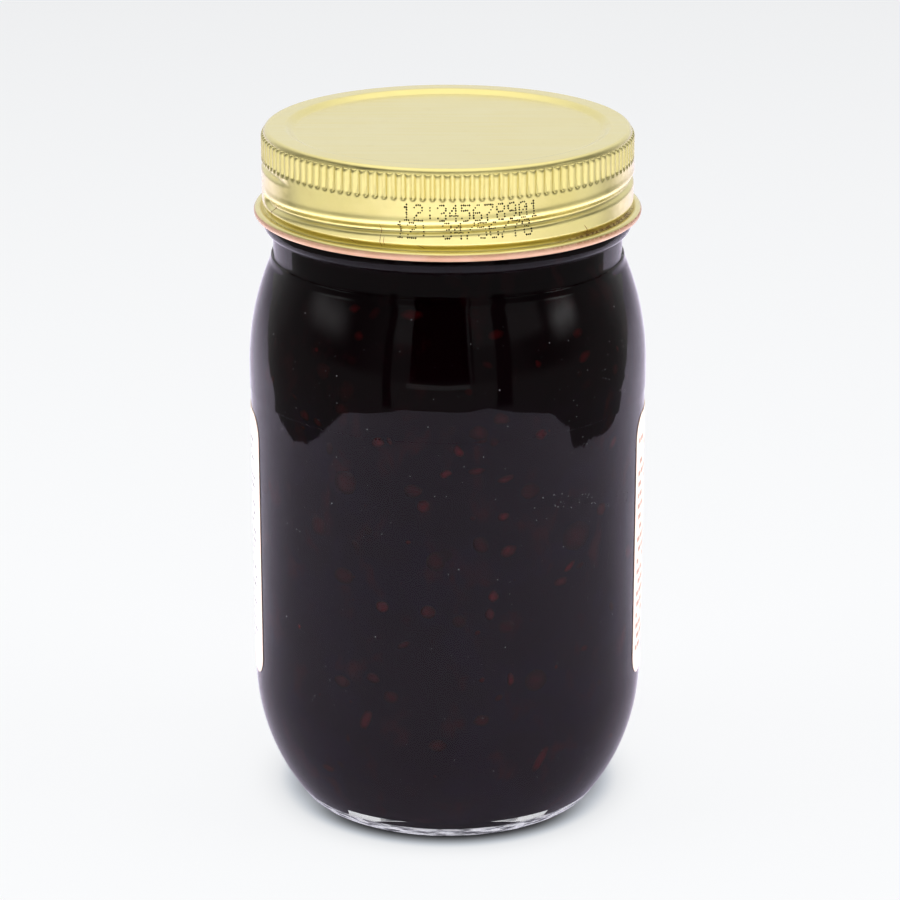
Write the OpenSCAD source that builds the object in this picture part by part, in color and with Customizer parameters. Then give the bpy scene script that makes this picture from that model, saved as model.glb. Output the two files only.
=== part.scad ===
// Round glass jar of jam with a one-piece screw lid of gold tinplate and a
// paper label wrapped round its back. All sizes are in millimetres. The jar
// stands on z = 0, centred on the Z axis, with the gap in its label at -Y.

/* [Jar] */
// Height of the glass from the table to its rim
jar_h = 136.35; // [113:0.05:170]
// Outside diameter of the body at the shoulder
body_d = 77.9; // [74:0.1:94]
// Depth of the recessed panel that takes the label
panel_depth = 0.15; // [0.05:0.05:0.6]
// Thickness of the glass wall
wall = 2.6; // [1.8:0.1:3.4]
// Height at which the curved heel runs into the straight wall
heel_h = 26; // [18:0.5:32]
// Radius of the heel's long curve
heel_curve = 41.8; // [36:0.1:54]
// Radius of the shoulder's long curve
shoulder_curve = 53.5; // [40:0.5:66]
// Height of the foot of the neck below the rim
neck_drop = 24.55; // [23:0.05:34]

/* [Base] */
// Width of the flat ring the jar stands on
bearing_w = 2.4; // [1:0.1:5]
// Rounding between the flat ring and the heel
bearing_round = 1.0; // [0.4:0.1:2]
// Rise of the dome under the base
push_up = 3.0; // [1:0.1:6]
// Thickness of the glass floor
floor_t = 4.0; // [2.5:0.1:7]
// Rounding inside, between the floor and the heel
inner_corner = 6; // [3:0.1:8]

/* [Neck] */
// Outside diameter of the finish that the lid covers
finish_d = 66.8; // [52:0.1:72]
// How far the bare neck under the bead stands out from the finish
neck_step = 0.5; // [0.2:0.1:1.5]
// Thickness of the glass at the finish
finish_t = 3.0; // [2:0.1:4]
// Concave rounding where the shoulder meets the neck
neck_fillet = 2.0; // [0.8:0.1:3]
// How far the bead under the lid stands out from the finish
bead_proud = 2.4; // [1.2:0.1:2.5]
// Radius of the bead's round edge
bead_round = 2.4; // [1.6:0.1:3]
// Space between the bead's widest line and the lid's lower edge
bead_gap = 1.1; // [0.8:0.1:2]
// Rounding of the rim's two edges
rim_round = 1.4; // [1.3:0.1:1.45]

/* [Lid] */
// Thickness of the tinplate
lid_t = 0.25; // [0.2:0.05:0.4]
// Space between the finish and the lid's plain wall
lid_clear = 2.25; // [1.8:0.05:3]
// Height of the lid from its lower edge to its top
lid_h = 17.1; // [15:0.1:20]
// Rounding of the top edge
lid_round = 1.0; // [0.7:0.1:1.1]
// Space between the sunk panel's foot and the mouth of the jar
panel_clear = 0.9; // [0.8:0.1:4]
// Depth of the sunk panel
panel_drop = 0.85; // [0.4:0.05:1.1]
// Width of the slope round the panel
panel_slope_w = 1.9; // [1.2:0.1:1.9]
// Number of ribs in the grip band
rib_count = 124; // [60:1:140]
// Height of the grip ribs
rib_h = 4.6; // [2:0.1:5]
// How far the ribs stand out
rib_depth = 0.45; // [0.2:0.05:0.6]
// Distance from the top of the lid down to the ribs
rib_drop = 1.2; // [1.1:0.1:1.6]
// How far the rolled lower edge stands out from the plain wall
curl_proud = 1.6; // [1.2:0.1:2.4]
// Thickness of the rolled lower edge
curl_t = 1.84; // [1.6:0.02:2.2]

/* [Lid thread] */
// Rise of the thread in one turn
thread_pitch = 6.35; // [5:0.05:7]
// How far the thread groove is pressed in
thread_depth = 0.75; // [0.3:0.05:0.9]
// Height of the groove at its mouth
thread_w = 1.8; // [1.2:0.1:2]
// Height of the groove's middle above the lid's lower edge, at the front
thread_rise = 5.5; // [4.6:0.1:6.5]
// How far the thread's second half turn runs on round the back, in degrees
thread_tail = 140; // [60:5:175]

/* [Filling] */
// Height of the free space between the filling and the rim
headspace = 3.5; // [2:0.1:12]
// Space between the filling and the glass in this model
fill_gap = 0.08; // [0.05:0.01:0.3]

/* [Label] */
// Thickness of the paper
label_t = 0.1; // [0.08:0.01:0.25]
// Thickness of the glue under the paper
glue_t = 0.03; // [0.02:0.01:0.05]
// How far round the jar the label reaches, in degrees
label_sweep = 218; // [150:1:260]
// Distance from the heel's top up to the label
label_foot = 0.5; // [0:0.5:10]
// Distance from the label up to the shoulder
label_head = 8; // [3:0.5:20]
// Radius of the label's corners
label_corner = 4.5; // [1:0.1:8]

/* [Hidden] */
$fn = 96;
ARC_STEPS = 14;
OVER = 1;              // how far a cutter runs past the face it cuts

// A run of points along an arc about c, from angle a0 to a1 in degrees.
function arc(c, r, a0, a1, n = ARC_STEPS) =
    [for (i = [0 : n]) let (a = a0 + (a1 - a0) * i / n) c + r * [cos(a), sin(a)]];

// The angle of the line from p to q.
function toward(p, q) = atan2(q[1] - p[1], q[0] - p[0]);

// A shallow dome from the axis at height z1 out to radius r at height z0.
function dome(r, z0, z1, n = ARC_STEPS) =
    let (rise = z1 - z0, big = (r * r + rise * rise) / (2 * rise), half = asin(r / big))
    arc([0, z1 - big], big, 90, 90 - half, n);

body_r = body_d / 2;
panel_r = body_r - panel_depth;
finish_r = finish_d / 2;
neck_r = finish_r + neck_step;
mouth_r = finish_r - finish_t;
neck_z = jar_h - neck_drop;
lid_top = jar_h + lid_t;
lid_foot = lid_top - lid_h;

// Heel: one long arc that is upright at heel_h, rounded into the flat ring.
heel_c = [panel_r - heel_curve, heel_h];
bearing_c = [heel_c[0] + sqrt(pow(heel_curve - bearing_round, 2) - pow(heel_h - bearing_round, 2)),
             bearing_round];
corner_c = [heel_c[0] + sqrt(pow(heel_curve - wall - inner_corner, 2)
                             - pow(heel_h - floor_t - inner_corner, 2)),
            floor_t + inner_corner];

// Shoulder: one long arc that is upright at shoulder_z and reaches the neck at neck_z.
shoulder_z = neck_z - sqrt(pow(shoulder_curve, 2) - pow(shoulder_curve - body_r + neck_r, 2));
shoulder_c = [body_r - shoulder_curve, shoulder_z];
fillet_c = [neck_r + neck_fillet,
            shoulder_z + sqrt(pow(shoulder_curve + neck_fillet, 2)
                              - pow(neck_r + neck_fillet - shoulder_c[0], 2))];
bead_c = [finish_r + bead_proud - bead_round, lid_foot - bead_gap];
bead_half_foot = acos((neck_r - bead_c[0]) / bead_round);
bead_half_head = acos((finish_r - bead_c[0]) / bead_round);

// Lid: it stands on the rim, clear of the finish all round.
lid_r = finish_r + lid_clear + lid_t;
root_r = lid_r - rib_depth;
rib_foot = lid_top - rib_drop - rib_h;
panel_foot_r = mouth_r - panel_clear;
curl_c = [lid_r + curl_proud - curl_t / 2, lid_foot + curl_t / 2];
skirt_z = curl_c[1] + curl_t / 2;

// The glass outside, from the axis under the base up to the rim.
function outside() = concat(
    dome(bearing_c[0] - bearing_w, 0, push_up),
    arc(bearing_c, bearing_round, -90, toward(heel_c, bearing_c), 6),
    arc(heel_c, heel_curve, toward(heel_c, bearing_c), 0, 24),
    [[panel_r, shoulder_z - label_head / 2], [body_r, shoulder_z - label_head / 2 + panel_depth]],
    arc(shoulder_c, shoulder_curve, 0, toward(shoulder_c, fillet_c), 20),
    arc(fillet_c, neck_fillet, toward(fillet_c, shoulder_c) + 360, 180, 6),
    arc(bead_c, bead_round, -bead_half_foot, bead_half_head),
    arc([finish_r - rim_round, jar_h - rim_round], rim_round, 0, 90, 6));

// The glass inside, from the rim down to the axis on the floor, drawn in by gap.
function inside(gap) = concat(
    arc(shoulder_c, shoulder_curve - wall - gap,
        acos((mouth_r - gap - shoulder_c[0]) / (shoulder_curve - wall - gap)), 0, 20),
    [[panel_r - wall - gap, heel_h]],
    arc(heel_c, heel_curve - wall - gap, 0, toward(heel_c, corner_c), 20),
    arc(corner_c, inner_corner - gap, toward(heel_c, corner_c), -90, 8),
    [for (i = [ARC_STEPS : -1 : 0]) dome(corner_c[0], floor_t + gap, floor_t + gap + push_up)[i]]);

// Thick clear glass, open at the top, with a rounded rim, a bead and a domed base.
module jar() {
    color("#d8e2e4", 0.35)
        rotate_extrude()
            polygon(concat(
                outside(),
                arc([mouth_r + rim_round, jar_h - rim_round], rim_round, 90, 180, 6),
                inside(0)));
}

// The filling takes the glass's inner form up to its level.
module jam() {
    fill_z = jar_h - headspace;
    color("#2a1720")
        rotate_extrude()
            polygon(concat([[0, fill_z], [mouth_r - fill_gap, fill_z]], inside(fill_gap)));
}

// One face of the tinplate, from the axis on the panel out and down to the
// skirt's foot: the outer face at inset 0, the inner face at inset lid_t.
function sheet(inset) = concat(
    [[0, lid_top - panel_drop - inset],
     [panel_foot_r, lid_top - panel_drop - inset],
     [panel_foot_r + panel_slope_w, lid_top - inset]],
    arc([root_r - lid_round, lid_top - lid_round], lid_round - inset, 90, 0, 6),
    [[root_r - inset, rib_foot],
     [lid_r - inset, rib_foot - rib_depth],
     [lid_r - inset, skirt_z],
     [curl_c[0] - inset, curl_c[1]]]);

// The ring of upright grip ribs, with flanks that narrow outwards.
module grip_ribs() {
    pitch = 360 / rib_count;
    inner = root_r - lid_t / 2;
    translate([0, 0, rib_foot])
        linear_extrude(rib_h)
            difference() {
                polygon([for (i = [0 : rib_count - 1], c = [[-0.34, inner], [-0.2, lid_r], [0.2, lid_r],
                                                            [0.34, inner]])
                    c[1] * [cos((i + c[0]) * pitch), sin((i + c[0]) * pitch)]]);
                circle(inner - lid_t / 4);
            }
}

// A strip that follows the thread round the lid: a half ring tilted up to the
// right at the front, and a second one, half a turn higher, that carries on
// round the back. Its section runs from radius r_far, where it is w_far high, to
// radius r_near, where it is w_near high. Each half runs lap degrees past its ends.
module thread_strip(r_far, w_far, r_near, w_near, lap) {
    tilt = atan(thread_pitch / 4 / lid_r);
    for (half = [0, 1])
        translate([0, 0, lid_foot + thread_rise + half * thread_pitch / 2])
            rotate([0, (2 * half - 1) * tilt, 0])
                rotate([0, 0, half * 180 - 180 - lap])
                    rotate_extrude(angle = (half == 0 ? 180 : thread_tail) + 2 * lap)
                        polygon([[r_far, -w_far / 2], [r_near, -w_near / 2],
                                 [r_near, w_near / 2], [r_far, w_far / 2]]);
}

// The lid is one pressed sheet: sunk panel, grip band, rolled thread, skirt and curl.
module lid() {
    near_r = lid_r - thread_depth;
    color("#c9b463")
        difference() {
            union() {
                rotate_extrude()
                    polygon(concat(sheet(0), [for (p = [len(sheet(lid_t)) - 1 : -1 : 0]) sheet(lid_t)[p]]));
                rotate_extrude()
                    translate(curl_c) circle(d = curl_t, $fn = 24);
                grip_ribs();
                thread_strip(lid_r - lid_t * 0.4, thread_w, near_r - lid_t, thread_w / 3, 2);
            }
            thread_strip(lid_r + OVER, thread_w + 2 * OVER, near_r, thread_w / 6, 1);
        }
}

// The paper wraps the panel at the back and leaves the front of the jar clear.
module label() {
    r0 = panel_r + glue_t;
    z0 = heel_h + label_foot;
    z1 = shoulder_z - label_head;
    y0 = r0 * cos(label_sweep / 2);
    c = label_corner;
    color("#f7e7dc")
        intersection() {
            rotate_extrude()
                translate([r0, z0 - OVER]) square([label_t, z1 - z0 + 2 * OVER]);
            rotate([90, 0, 90])
                linear_extrude(3 * body_d, center = true)
                    polygon(concat([[body_d, z0], [body_d, z1]],
                                   arc([y0 + c, z1 - c], c, 90, 180, 8),
                                   arc([y0 + c, z0 + c], c, 180, 270, 8)));
        }
}

jar();
jam();
lid();
label();
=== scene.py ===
"""Looks of a filled glass jam jar with a gold screw lid and a wrap-around paper label.

Sizes inside the classes are in millimetres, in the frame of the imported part: the jar stands on
z = 0, centred on the Z axis, with the gap in its label at -Y. An angle round the jar is 0 at the
front and grows to the right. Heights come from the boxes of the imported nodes.
"""

from __future__ import annotations

import logging
import math
from dataclasses import dataclass
from enum import Enum
from functools import reduce
from typing import Callable, Iterable, Sequence, Union

import bpy
import numpy as np
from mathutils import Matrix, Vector

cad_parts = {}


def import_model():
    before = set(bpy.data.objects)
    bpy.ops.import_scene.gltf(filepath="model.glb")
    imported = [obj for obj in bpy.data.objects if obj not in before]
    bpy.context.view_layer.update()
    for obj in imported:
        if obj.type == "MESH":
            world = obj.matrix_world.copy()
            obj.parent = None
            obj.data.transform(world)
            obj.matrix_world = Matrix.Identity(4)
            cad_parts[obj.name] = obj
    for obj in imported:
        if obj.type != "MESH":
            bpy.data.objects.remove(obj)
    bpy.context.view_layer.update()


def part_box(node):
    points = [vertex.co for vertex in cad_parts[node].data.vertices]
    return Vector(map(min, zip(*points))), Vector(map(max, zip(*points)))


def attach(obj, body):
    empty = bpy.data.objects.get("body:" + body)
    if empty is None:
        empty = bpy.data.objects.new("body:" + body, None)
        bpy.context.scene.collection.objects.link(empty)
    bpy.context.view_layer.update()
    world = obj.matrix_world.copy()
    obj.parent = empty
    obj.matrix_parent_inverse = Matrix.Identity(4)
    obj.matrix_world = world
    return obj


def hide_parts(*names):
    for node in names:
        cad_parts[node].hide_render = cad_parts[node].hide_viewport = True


MM = 0.001
BODY = "root"
Colour = tuple[float, float, float, float]
Point = tuple[float, float, float]
log = logging.getLogger("jam_jar")


# ---------------------------------------------------------------- shapes in the section plane


def arc(centre: Sequence[float], radius: float, start: float, end: float, steps: int) -> np.ndarray:
    """Points along an arc.

    Args:
        centre: Middle of the arc, as radius and height.
        radius: Radius of the arc.
        start: First angle in degrees, 0 pointing outwards and 90 up.
        end: Last angle in degrees.
        steps: Number of stretches that the arc is cut into.

    Returns:
        The points, one row each.
    """
    t = np.radians(np.linspace(start, end, steps + 1))
    return np.column_stack((centre[0] + radius * np.cos(t), centre[1] + radius * np.sin(t)))


def dome(radius: float, foot: float, top: float, steps: int) -> np.ndarray:
    """A shallow dome's section.

    Args:
        radius: Radius of the dome's foot.
        foot: Height of the foot.
        top: Height on the axis.
        steps: Number of stretches.

    Returns:
        The points from the axis out to the foot.
    """
    rise = top - foot
    big = (radius * radius + rise * rise) / (2 * rise)
    half = math.degrees(math.asin(radius / big))
    points = arc((0.0, top - big), big, 90, 90 - half, steps)
    points[0, 0] = 0.0
    return points


def toward(start: Sequence[float], end: Sequence[float]) -> float:
    """Angle in degrees of the line from one point to another."""
    return math.degrees(math.atan2(end[1] - start[1], end[0] - start[0]))


def line(*points: Sequence[float]) -> np.ndarray:
    """The given points as rows of an outline."""
    return np.array(points, float)


def smooth_step(value: np.ndarray | float, low: float, high: float) -> np.ndarray:
    """0 below low, 1 above high, and a smooth ramp between."""
    t = np.clip((np.asarray(value, float) - low) / (high - low), 0, 1)
    return t * t * (3 - 2 * t)


# ---------------------------------------------------------------- meshes


def finish_mesh(
    name: str,
    vertices: np.ndarray,
    faces: Sequence[Sequence[int]],
    materials: Sequence[bpy.types.Material] = (),
    face_material: Sequence[int] | None = None,
    corner: float = 40.0,
) -> bpy.types.Object:
    """Makes a mesh object at the origin and shades it smooth except over sharp corners.

    Args:
        name: Name of the piece.
        vertices: Points in millimetres, one row each.
        faces: Corners of each face, counter-clockwise from outside.
        materials: Materials of the piece.
        face_material: Index of each face's material, if it has more than one.
        corner: Angle in degrees past which an edge stays sharp.

    Returns:
        The new object.
    """
    mesh = bpy.data.meshes.new(name)
    mesh.from_pydata((np.asarray(vertices, float) * MM).tolist(), [], [list(f) for f in faces])
    for material in materials:
        mesh.materials.append(material)
    if face_material is not None:
        mesh.polygons.foreach_set("material_index", np.asarray(face_material, np.int32))
    mesh.shade_smooth()
    mesh.set_sharp_from_angle(angle=math.radians(corner))
    mesh.update()
    piece = bpy.data.objects.new(name, mesh)
    bpy.context.scene.collection.objects.link(piece)
    return piece


def turned(
    name: str,
    radius: np.ndarray,
    height: np.ndarray,
    materials: Sequence[bpy.types.Material],
    row_material: Sequence[int] | None = None,
    corner: float = 40.0,
) -> bpy.types.Object:
    """Makes a closed skin from rings of points round the Z axis.

    The rings follow the section counter-clockwise, so that every face points outwards.

    Args:
        name: Name of the piece.
        radius: Radius of each point, one row a ring; a ring of zeros is a pole.
        height: Height of each point, in the same layout.
        materials: Materials of the piece.
        row_material: Material of the faces that follow each ring.
        corner: Angle in degrees past which an edge stays sharp.

    Returns:
        The new object.
    """
    rows, columns = radius.shape
    angle = np.linspace(0, 2 * math.pi, columns, endpoint=False)
    points: list[np.ndarray] = []
    index = np.zeros((rows, columns), int)
    count = 0
    for row in range(rows):
        if radius[row].max() < 1e-9:
            points.append(np.array([[0.0, 0.0, height[row, 0]]]))
            index[row] = count
            count += 1
        else:
            points.append(np.column_stack((radius[row] * np.sin(angle), -radius[row] * np.cos(angle),
                                           height[row])))
            index[row] = np.arange(count, count + columns)
            count += columns
    poles = radius[0].max() < 1e-9 and radius[-1].max() < 1e-9
    faces: list[list[int]] = []
    slots: list[int] = []
    for row in range(rows - 1 if poles else rows):
        below, above = index[row], index[(row + 1) % rows]
        for col in range(columns):
            nxt = (col + 1) % columns
            face = [below[col], below[nxt], above[nxt], above[col]]
            face = [v for k, v in enumerate(face) if v != face[k - 1]]
            if len(face) > 2:
                faces.append([int(v) for v in face])
                slots.append(row_material[row] if row_material is not None else 0)
    return finish_mesh(name, np.vstack(points), faces, materials, slots, corner)


def lathed(
    name: str, outline: np.ndarray, columns: int, material: bpy.types.Material, corner: float = 40.0
) -> bpy.types.Object:
    """Turns one outline into a solid of revolution.

    Args:
        name: Name of the piece.
        outline: Radius and height of each point, counter-clockwise.
        columns: Number of points in each ring.
        material: Material of the piece.
        corner: Angle in degrees past which an edge stays sharp.

    Returns:
        The new object.
    """
    radius = np.repeat(outline[:, :1], columns, axis=1)
    height = np.repeat(outline[:, 1:2], columns, axis=1)
    return turned(name, radius, height, [material], None, corner)


def ride(piece: bpy.types.Object, slot: str, *nodes: str) -> bpy.types.Object:
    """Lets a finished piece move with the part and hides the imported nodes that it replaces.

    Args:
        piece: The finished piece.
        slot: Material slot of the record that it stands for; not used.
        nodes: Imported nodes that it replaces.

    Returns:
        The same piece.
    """
    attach(piece, BODY)
    if nodes:
        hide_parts(*nodes)
    log.info("%s: %d faces", piece.name, len(piece.data.polygons))
    return piece


# ---------------------------------------------------------------- node trees


Socket = bpy.types.NodeSocket
Value = Union[Socket, float, tuple[float, ...]]


class Graph:
    """Adds nodes to a tree and links them, so that finishes read as short recipes."""

    def __init__(self, tree: bpy.types.NodeTree) -> None:
        """Keeps the tree that the nodes go into."""
        self.tree = tree

    def node(self, kind: str, inputs: dict | None = None, **settings: object) -> bpy.types.Node:
        """Adds one node.

        Args:
            kind: Name of the node's type.
            inputs: Values or sockets for its inputs, by name or number.
            settings: The node's own properties.

        Returns:
            The node.
        """
        node = self.tree.nodes.new(kind)
        for key, value in settings.items():
            setattr(node, key, value)
        for key, value in (inputs or {}).items():
            self.feed(node.inputs[key], value)
        return node

    def feed(self, target: Socket, value: Value) -> None:
        """Links a socket to an input, or writes a plain value into it.

        Args:
            target: The input.
            value: Socket or plain value.
        """
        if isinstance(value, bpy.types.NodeSocket):
            self.tree.links.new(value, target)
        else:
            target.default_value = value

    def math(self, operation: str, *values: Value, clamp: bool = False) -> Socket:
        """Result of a Math node on one, two or three values.

        Args:
            operation: Name of the operation.
            values: What it works on.
            clamp: Holds the result between 0 and 1.

        Returns:
            The result.
        """
        node = self.node("ShaderNodeMath", operation=operation, use_clamp=clamp)
        for target, value in zip(node.inputs, values):
            self.feed(target, value)
        return node.outputs[0]

    def times(self, *values: Value) -> Socket:
        """Product of two or more values."""
        return reduce(lambda first, second: self.math("MULTIPLY", first, second), values)

    def plus(self, *values: Value) -> Socket:
        """Sum of two or more values."""
        return reduce(lambda first, second: self.math("ADD", first, second), values)

    def minus(self, first: Value, second: Value) -> Socket:
        """Difference of two values."""
        return self.math("SUBTRACT", first, second)

    def reach(self, x: Value, y: Value) -> Socket:
        """Distance of a point in a plane from its origin."""
        return self.math("SQRT", self.plus(self.times(x, x), self.times(y, y)))

    def vector(self, operation: str, first: Value, second: Value) -> Socket:
        """Result of a Vector Math node on two vectors."""
        return self.node("ShaderNodeVectorMath", {0: first, 1: second}, operation=operation).outputs[0]

    def ramp(self, value: Value, low: float, high: float, to_low: float = 0.0, to_high: float = 1.0,
             smooth: bool = True) -> Socket:
        """Maps a value from one range to another, held at the ends.

        Args:
            value: The value to map.
            low: Start of the range it comes from.
            high: End of the range it comes from.
            to_low: Result at the start.
            to_high: Result at the end.
            smooth: Eases in and out of the ends.

        Returns:
            The mapped value.
        """
        kind = "SMOOTHSTEP" if smooth else "LINEAR"
        node = self.node("ShaderNodeMapRange", {0: value, 1: low, 2: high, 3: to_low, 4: to_high},
                         interpolation_type=kind)
        return node.outputs[0]

    def mix(self, share: Value, first: Value, second: Value, blend: str = "MIX") -> Socket:
        """Mixes two colours by a share.

        Args:
            share: Share of the second colour.
            first: Colour or socket.
            second: Colour or socket.
            blend: Name of the way they mix.

        Returns:
            The colour.
        """
        node = self.node("ShaderNodeMix", data_type="RGBA", blend_type=blend)
        for name, value in (("Factor_Float", share), ("A_Color", first), ("B_Color", second)):
            full = value + (1.0,) if isinstance(value, tuple) and len(value) == 3 else value
            self.feed(next(s for s in node.inputs if s.identifier == name), full)
        return next(s for s in node.outputs if s.identifier == "Result_Color")

    def noise(self, vector: Socket, scale: Value, detail: float = 2.0, rough: float = 0.5,
              warp: float = 0.0) -> Socket:
        """A noise pattern's value, about 0 to 1.

        Args:
            vector: Where it is read.
            scale: Fineness.
            detail: Number of finer layers.
            rough: Weight of the finer layers.
            warp: How far it is bent.

        Returns:
            The value.
        """
        node = self.node("ShaderNodeTexNoise", {"Vector": vector, "Scale": scale, "Detail": detail,
                                                "Roughness": rough, "Distortion": warp})
        return node.outputs[0]

    def split(self, vector: Socket) -> tuple[Socket, Socket, Socket]:
        """The three parts of a vector."""
        node = self.node("ShaderNodeSeparateXYZ", {0: vector})
        return node.outputs[0], node.outputs[1], node.outputs[2]

    def stretched(self, vector: Socket, scale: Point) -> Socket:
        """A vector scaled differently along each axis."""
        return self.node("ShaderNodeMapping", {"Vector": vector, "Scale": scale}).outputs[0]

    def angle(self, vector: Socket) -> Socket:
        """Angle in degrees round the Z axis, 0 at the front and growing to the right."""
        x, y, _ = self.split(vector)
        return self.math("DEGREES", self.math("ARCTAN2", x, self.times(y, -1.0)))

    def box(self, value: Value, low: float, high: float, soft: float) -> Socket:
        """1 between low and high and 0 outside, with soft ends."""
        rise = self.ramp(value, low - soft, low + soft)
        return self.times(rise, self.ramp(value, high - soft, high + soft, 1.0, 0.0))


def shader_group(name: str, inputs: Sequence[tuple[str, str, object]], outputs: Sequence[str],
                 recipe: Callable[[Graph, dict[str, Socket]], dict[str, Socket]]) -> bpy.types.NodeTree:
    """Builds a shader node group with named sockets.

    Args:
        name: Name of the effect.
        inputs: Name, kind and default of each input.
        outputs: Names of the outputs, each a plain number.
        recipe: Builds the nodes from the inputs and gives the outputs.

    Returns:
        The group.
    """
    tree = bpy.data.node_groups.new(name, "ShaderNodeTree")
    for label, kind, default in inputs:
        socket = tree.interface.new_socket(label, in_out="INPUT", socket_type="NodeSocket" + kind)
        if kind != "Vector":
            socket.default_value = default
    for label in outputs:
        tree.interface.new_socket(label, in_out="OUTPUT", socket_type="NodeSocketFloat")
    graph = Graph(tree)
    start, end = graph.node("NodeGroupInput"), graph.node("NodeGroupOutput")
    for label, socket in recipe(graph, {s.name: s for s in start.outputs if s.name}).items():
        tree.links.new(socket, end.inputs[label])
    return tree


class Effects:
    """The surface effects that several finishes share, each a node group built once."""

    def __init__(self) -> None:
        """Builds the groups."""
        self.grain = shader_group(
            "rolled_grain",
            [("Vector", "Vector", None), ("Fineness", "Float", 900.0), ("Length", "Float", 0.05)],
            ["Height", "Shade"], self._grain)
        self.blotch = shader_group(
            "blotches",
            [("Vector", "Vector", None), ("Scale", "Float", 60.0), ("Low", "Float", 0.4),
             ("High", "Float", 0.6)],
            ["Mask"], self._blotch)
        self.sector = shader_group(
            "sector",
            [("Vector", "Vector", None), ("Angle", "Float", 0.0), ("Half width", "Float", 10.0),
             ("Fade", "Float", 5.0)],
            ["Mask"], self._sector)
        self.bars = shader_group(
            "print_bars",
            [("Across", "Float", 0.0), ("Up", "Float", 0.0), ("Line height", "Float", 1.8),
             ("Word length", "Float", 2.2), ("Cover", "Float", 0.7)],
            ["Mask"], self._bars)

    @staticmethod
    def _grain(g: Graph, i: dict[str, Socket]) -> dict[str, Socket]:
        """Fine lines of rolled sheet metal along X, with a soft cloud over them.

        Args:
            g: The group's graph.
            i: Its inputs by name.

        Returns:
            Its outputs by name.
        """
        x, y, z = g.split(i["Vector"])
        long_x = g.times(x, i["Length"])
        flat = g.node("ShaderNodeCombineXYZ", {0: long_x, 1: y, 2: z}).outputs[0]
        fine = g.noise(flat, i["Fineness"], 3.0, 0.6)
        cloud = g.noise(i["Vector"], g.times(i["Fineness"], 0.3), 3.0, 0.6)
        both = g.plus(g.times(fine, 0.7), g.times(cloud, 0.3))
        return {"Height": both, "Shade": fine}

    @staticmethod
    def _blotch(g: Graph, i: dict[str, Socket]) -> dict[str, Socket]:
        """Soft patches whose edges lie between two noise levels.

        Args:
            g: The group's graph.
            i: Its inputs by name.

        Returns:
            Its outputs by name.
        """
        cloud = g.noise(i["Vector"], i["Scale"], 3.0, 0.55, 0.3)
        mask = g.node("ShaderNodeMapRange", {0: cloud, 1: i["Low"], 2: i["High"], 3: 0.0, 4: 1.0},
                      interpolation_type="SMOOTHSTEP").outputs[0]
        return {"Mask": mask}

    @staticmethod
    def _sector(g: Graph, i: dict[str, Socket]) -> dict[str, Socket]:
        """A stretch of the way round the axis.

        Args:
            g: The group's graph.
            i: Its inputs by name.

        Returns:
            Its outputs by name.
        """
        turn = g.minus(g.angle(i["Vector"]), i["Angle"])
        off = g.math("ABSOLUTE", g.math("WRAP", turn, 180.0, -180.0))
        left = g.minus(i["Half width"], off)
        share = g.math("DIVIDE", left, i["Fade"], clamp=True)
        return {"Mask": share}

    @staticmethod
    def _bars(g: Graph, i: dict[str, Socket]) -> dict[str, Socket]:
        """Rows of short bars with gaps, like lines of small print.

        Args:
            g: The group's graph.
            i: Its inputs by name.

        Returns:
            Its outputs by name.
        """
        row = g.math("DIVIDE", i["Up"], i["Line height"])
        line_number = g.math("FLOOR", row)
        within = g.math("FRACT", row)
        inked = g.box(within, 0.3, 0.72, 0.04)
        across = g.math("DIVIDE", i["Across"], i["Word length"])
        shifted = g.plus(across, g.times(line_number, 0.37))
        word = g.math("FLOOR", shifted)
        spot = g.node("ShaderNodeCombineXYZ", {0: word, 1: line_number, 2: 0.5}).outputs[0]
        pick = g.node("ShaderNodeTexWhiteNoise", {"Vector": spot}, noise_dimensions="3D").outputs[0]
        keep = g.math("LESS_THAN", pick, i["Cover"])
        gap = g.box(g.math("FRACT", shifted), 0.06, 0.88, 0.03)
        return {"Mask": g.times(inked, keep, gap)}


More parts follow.
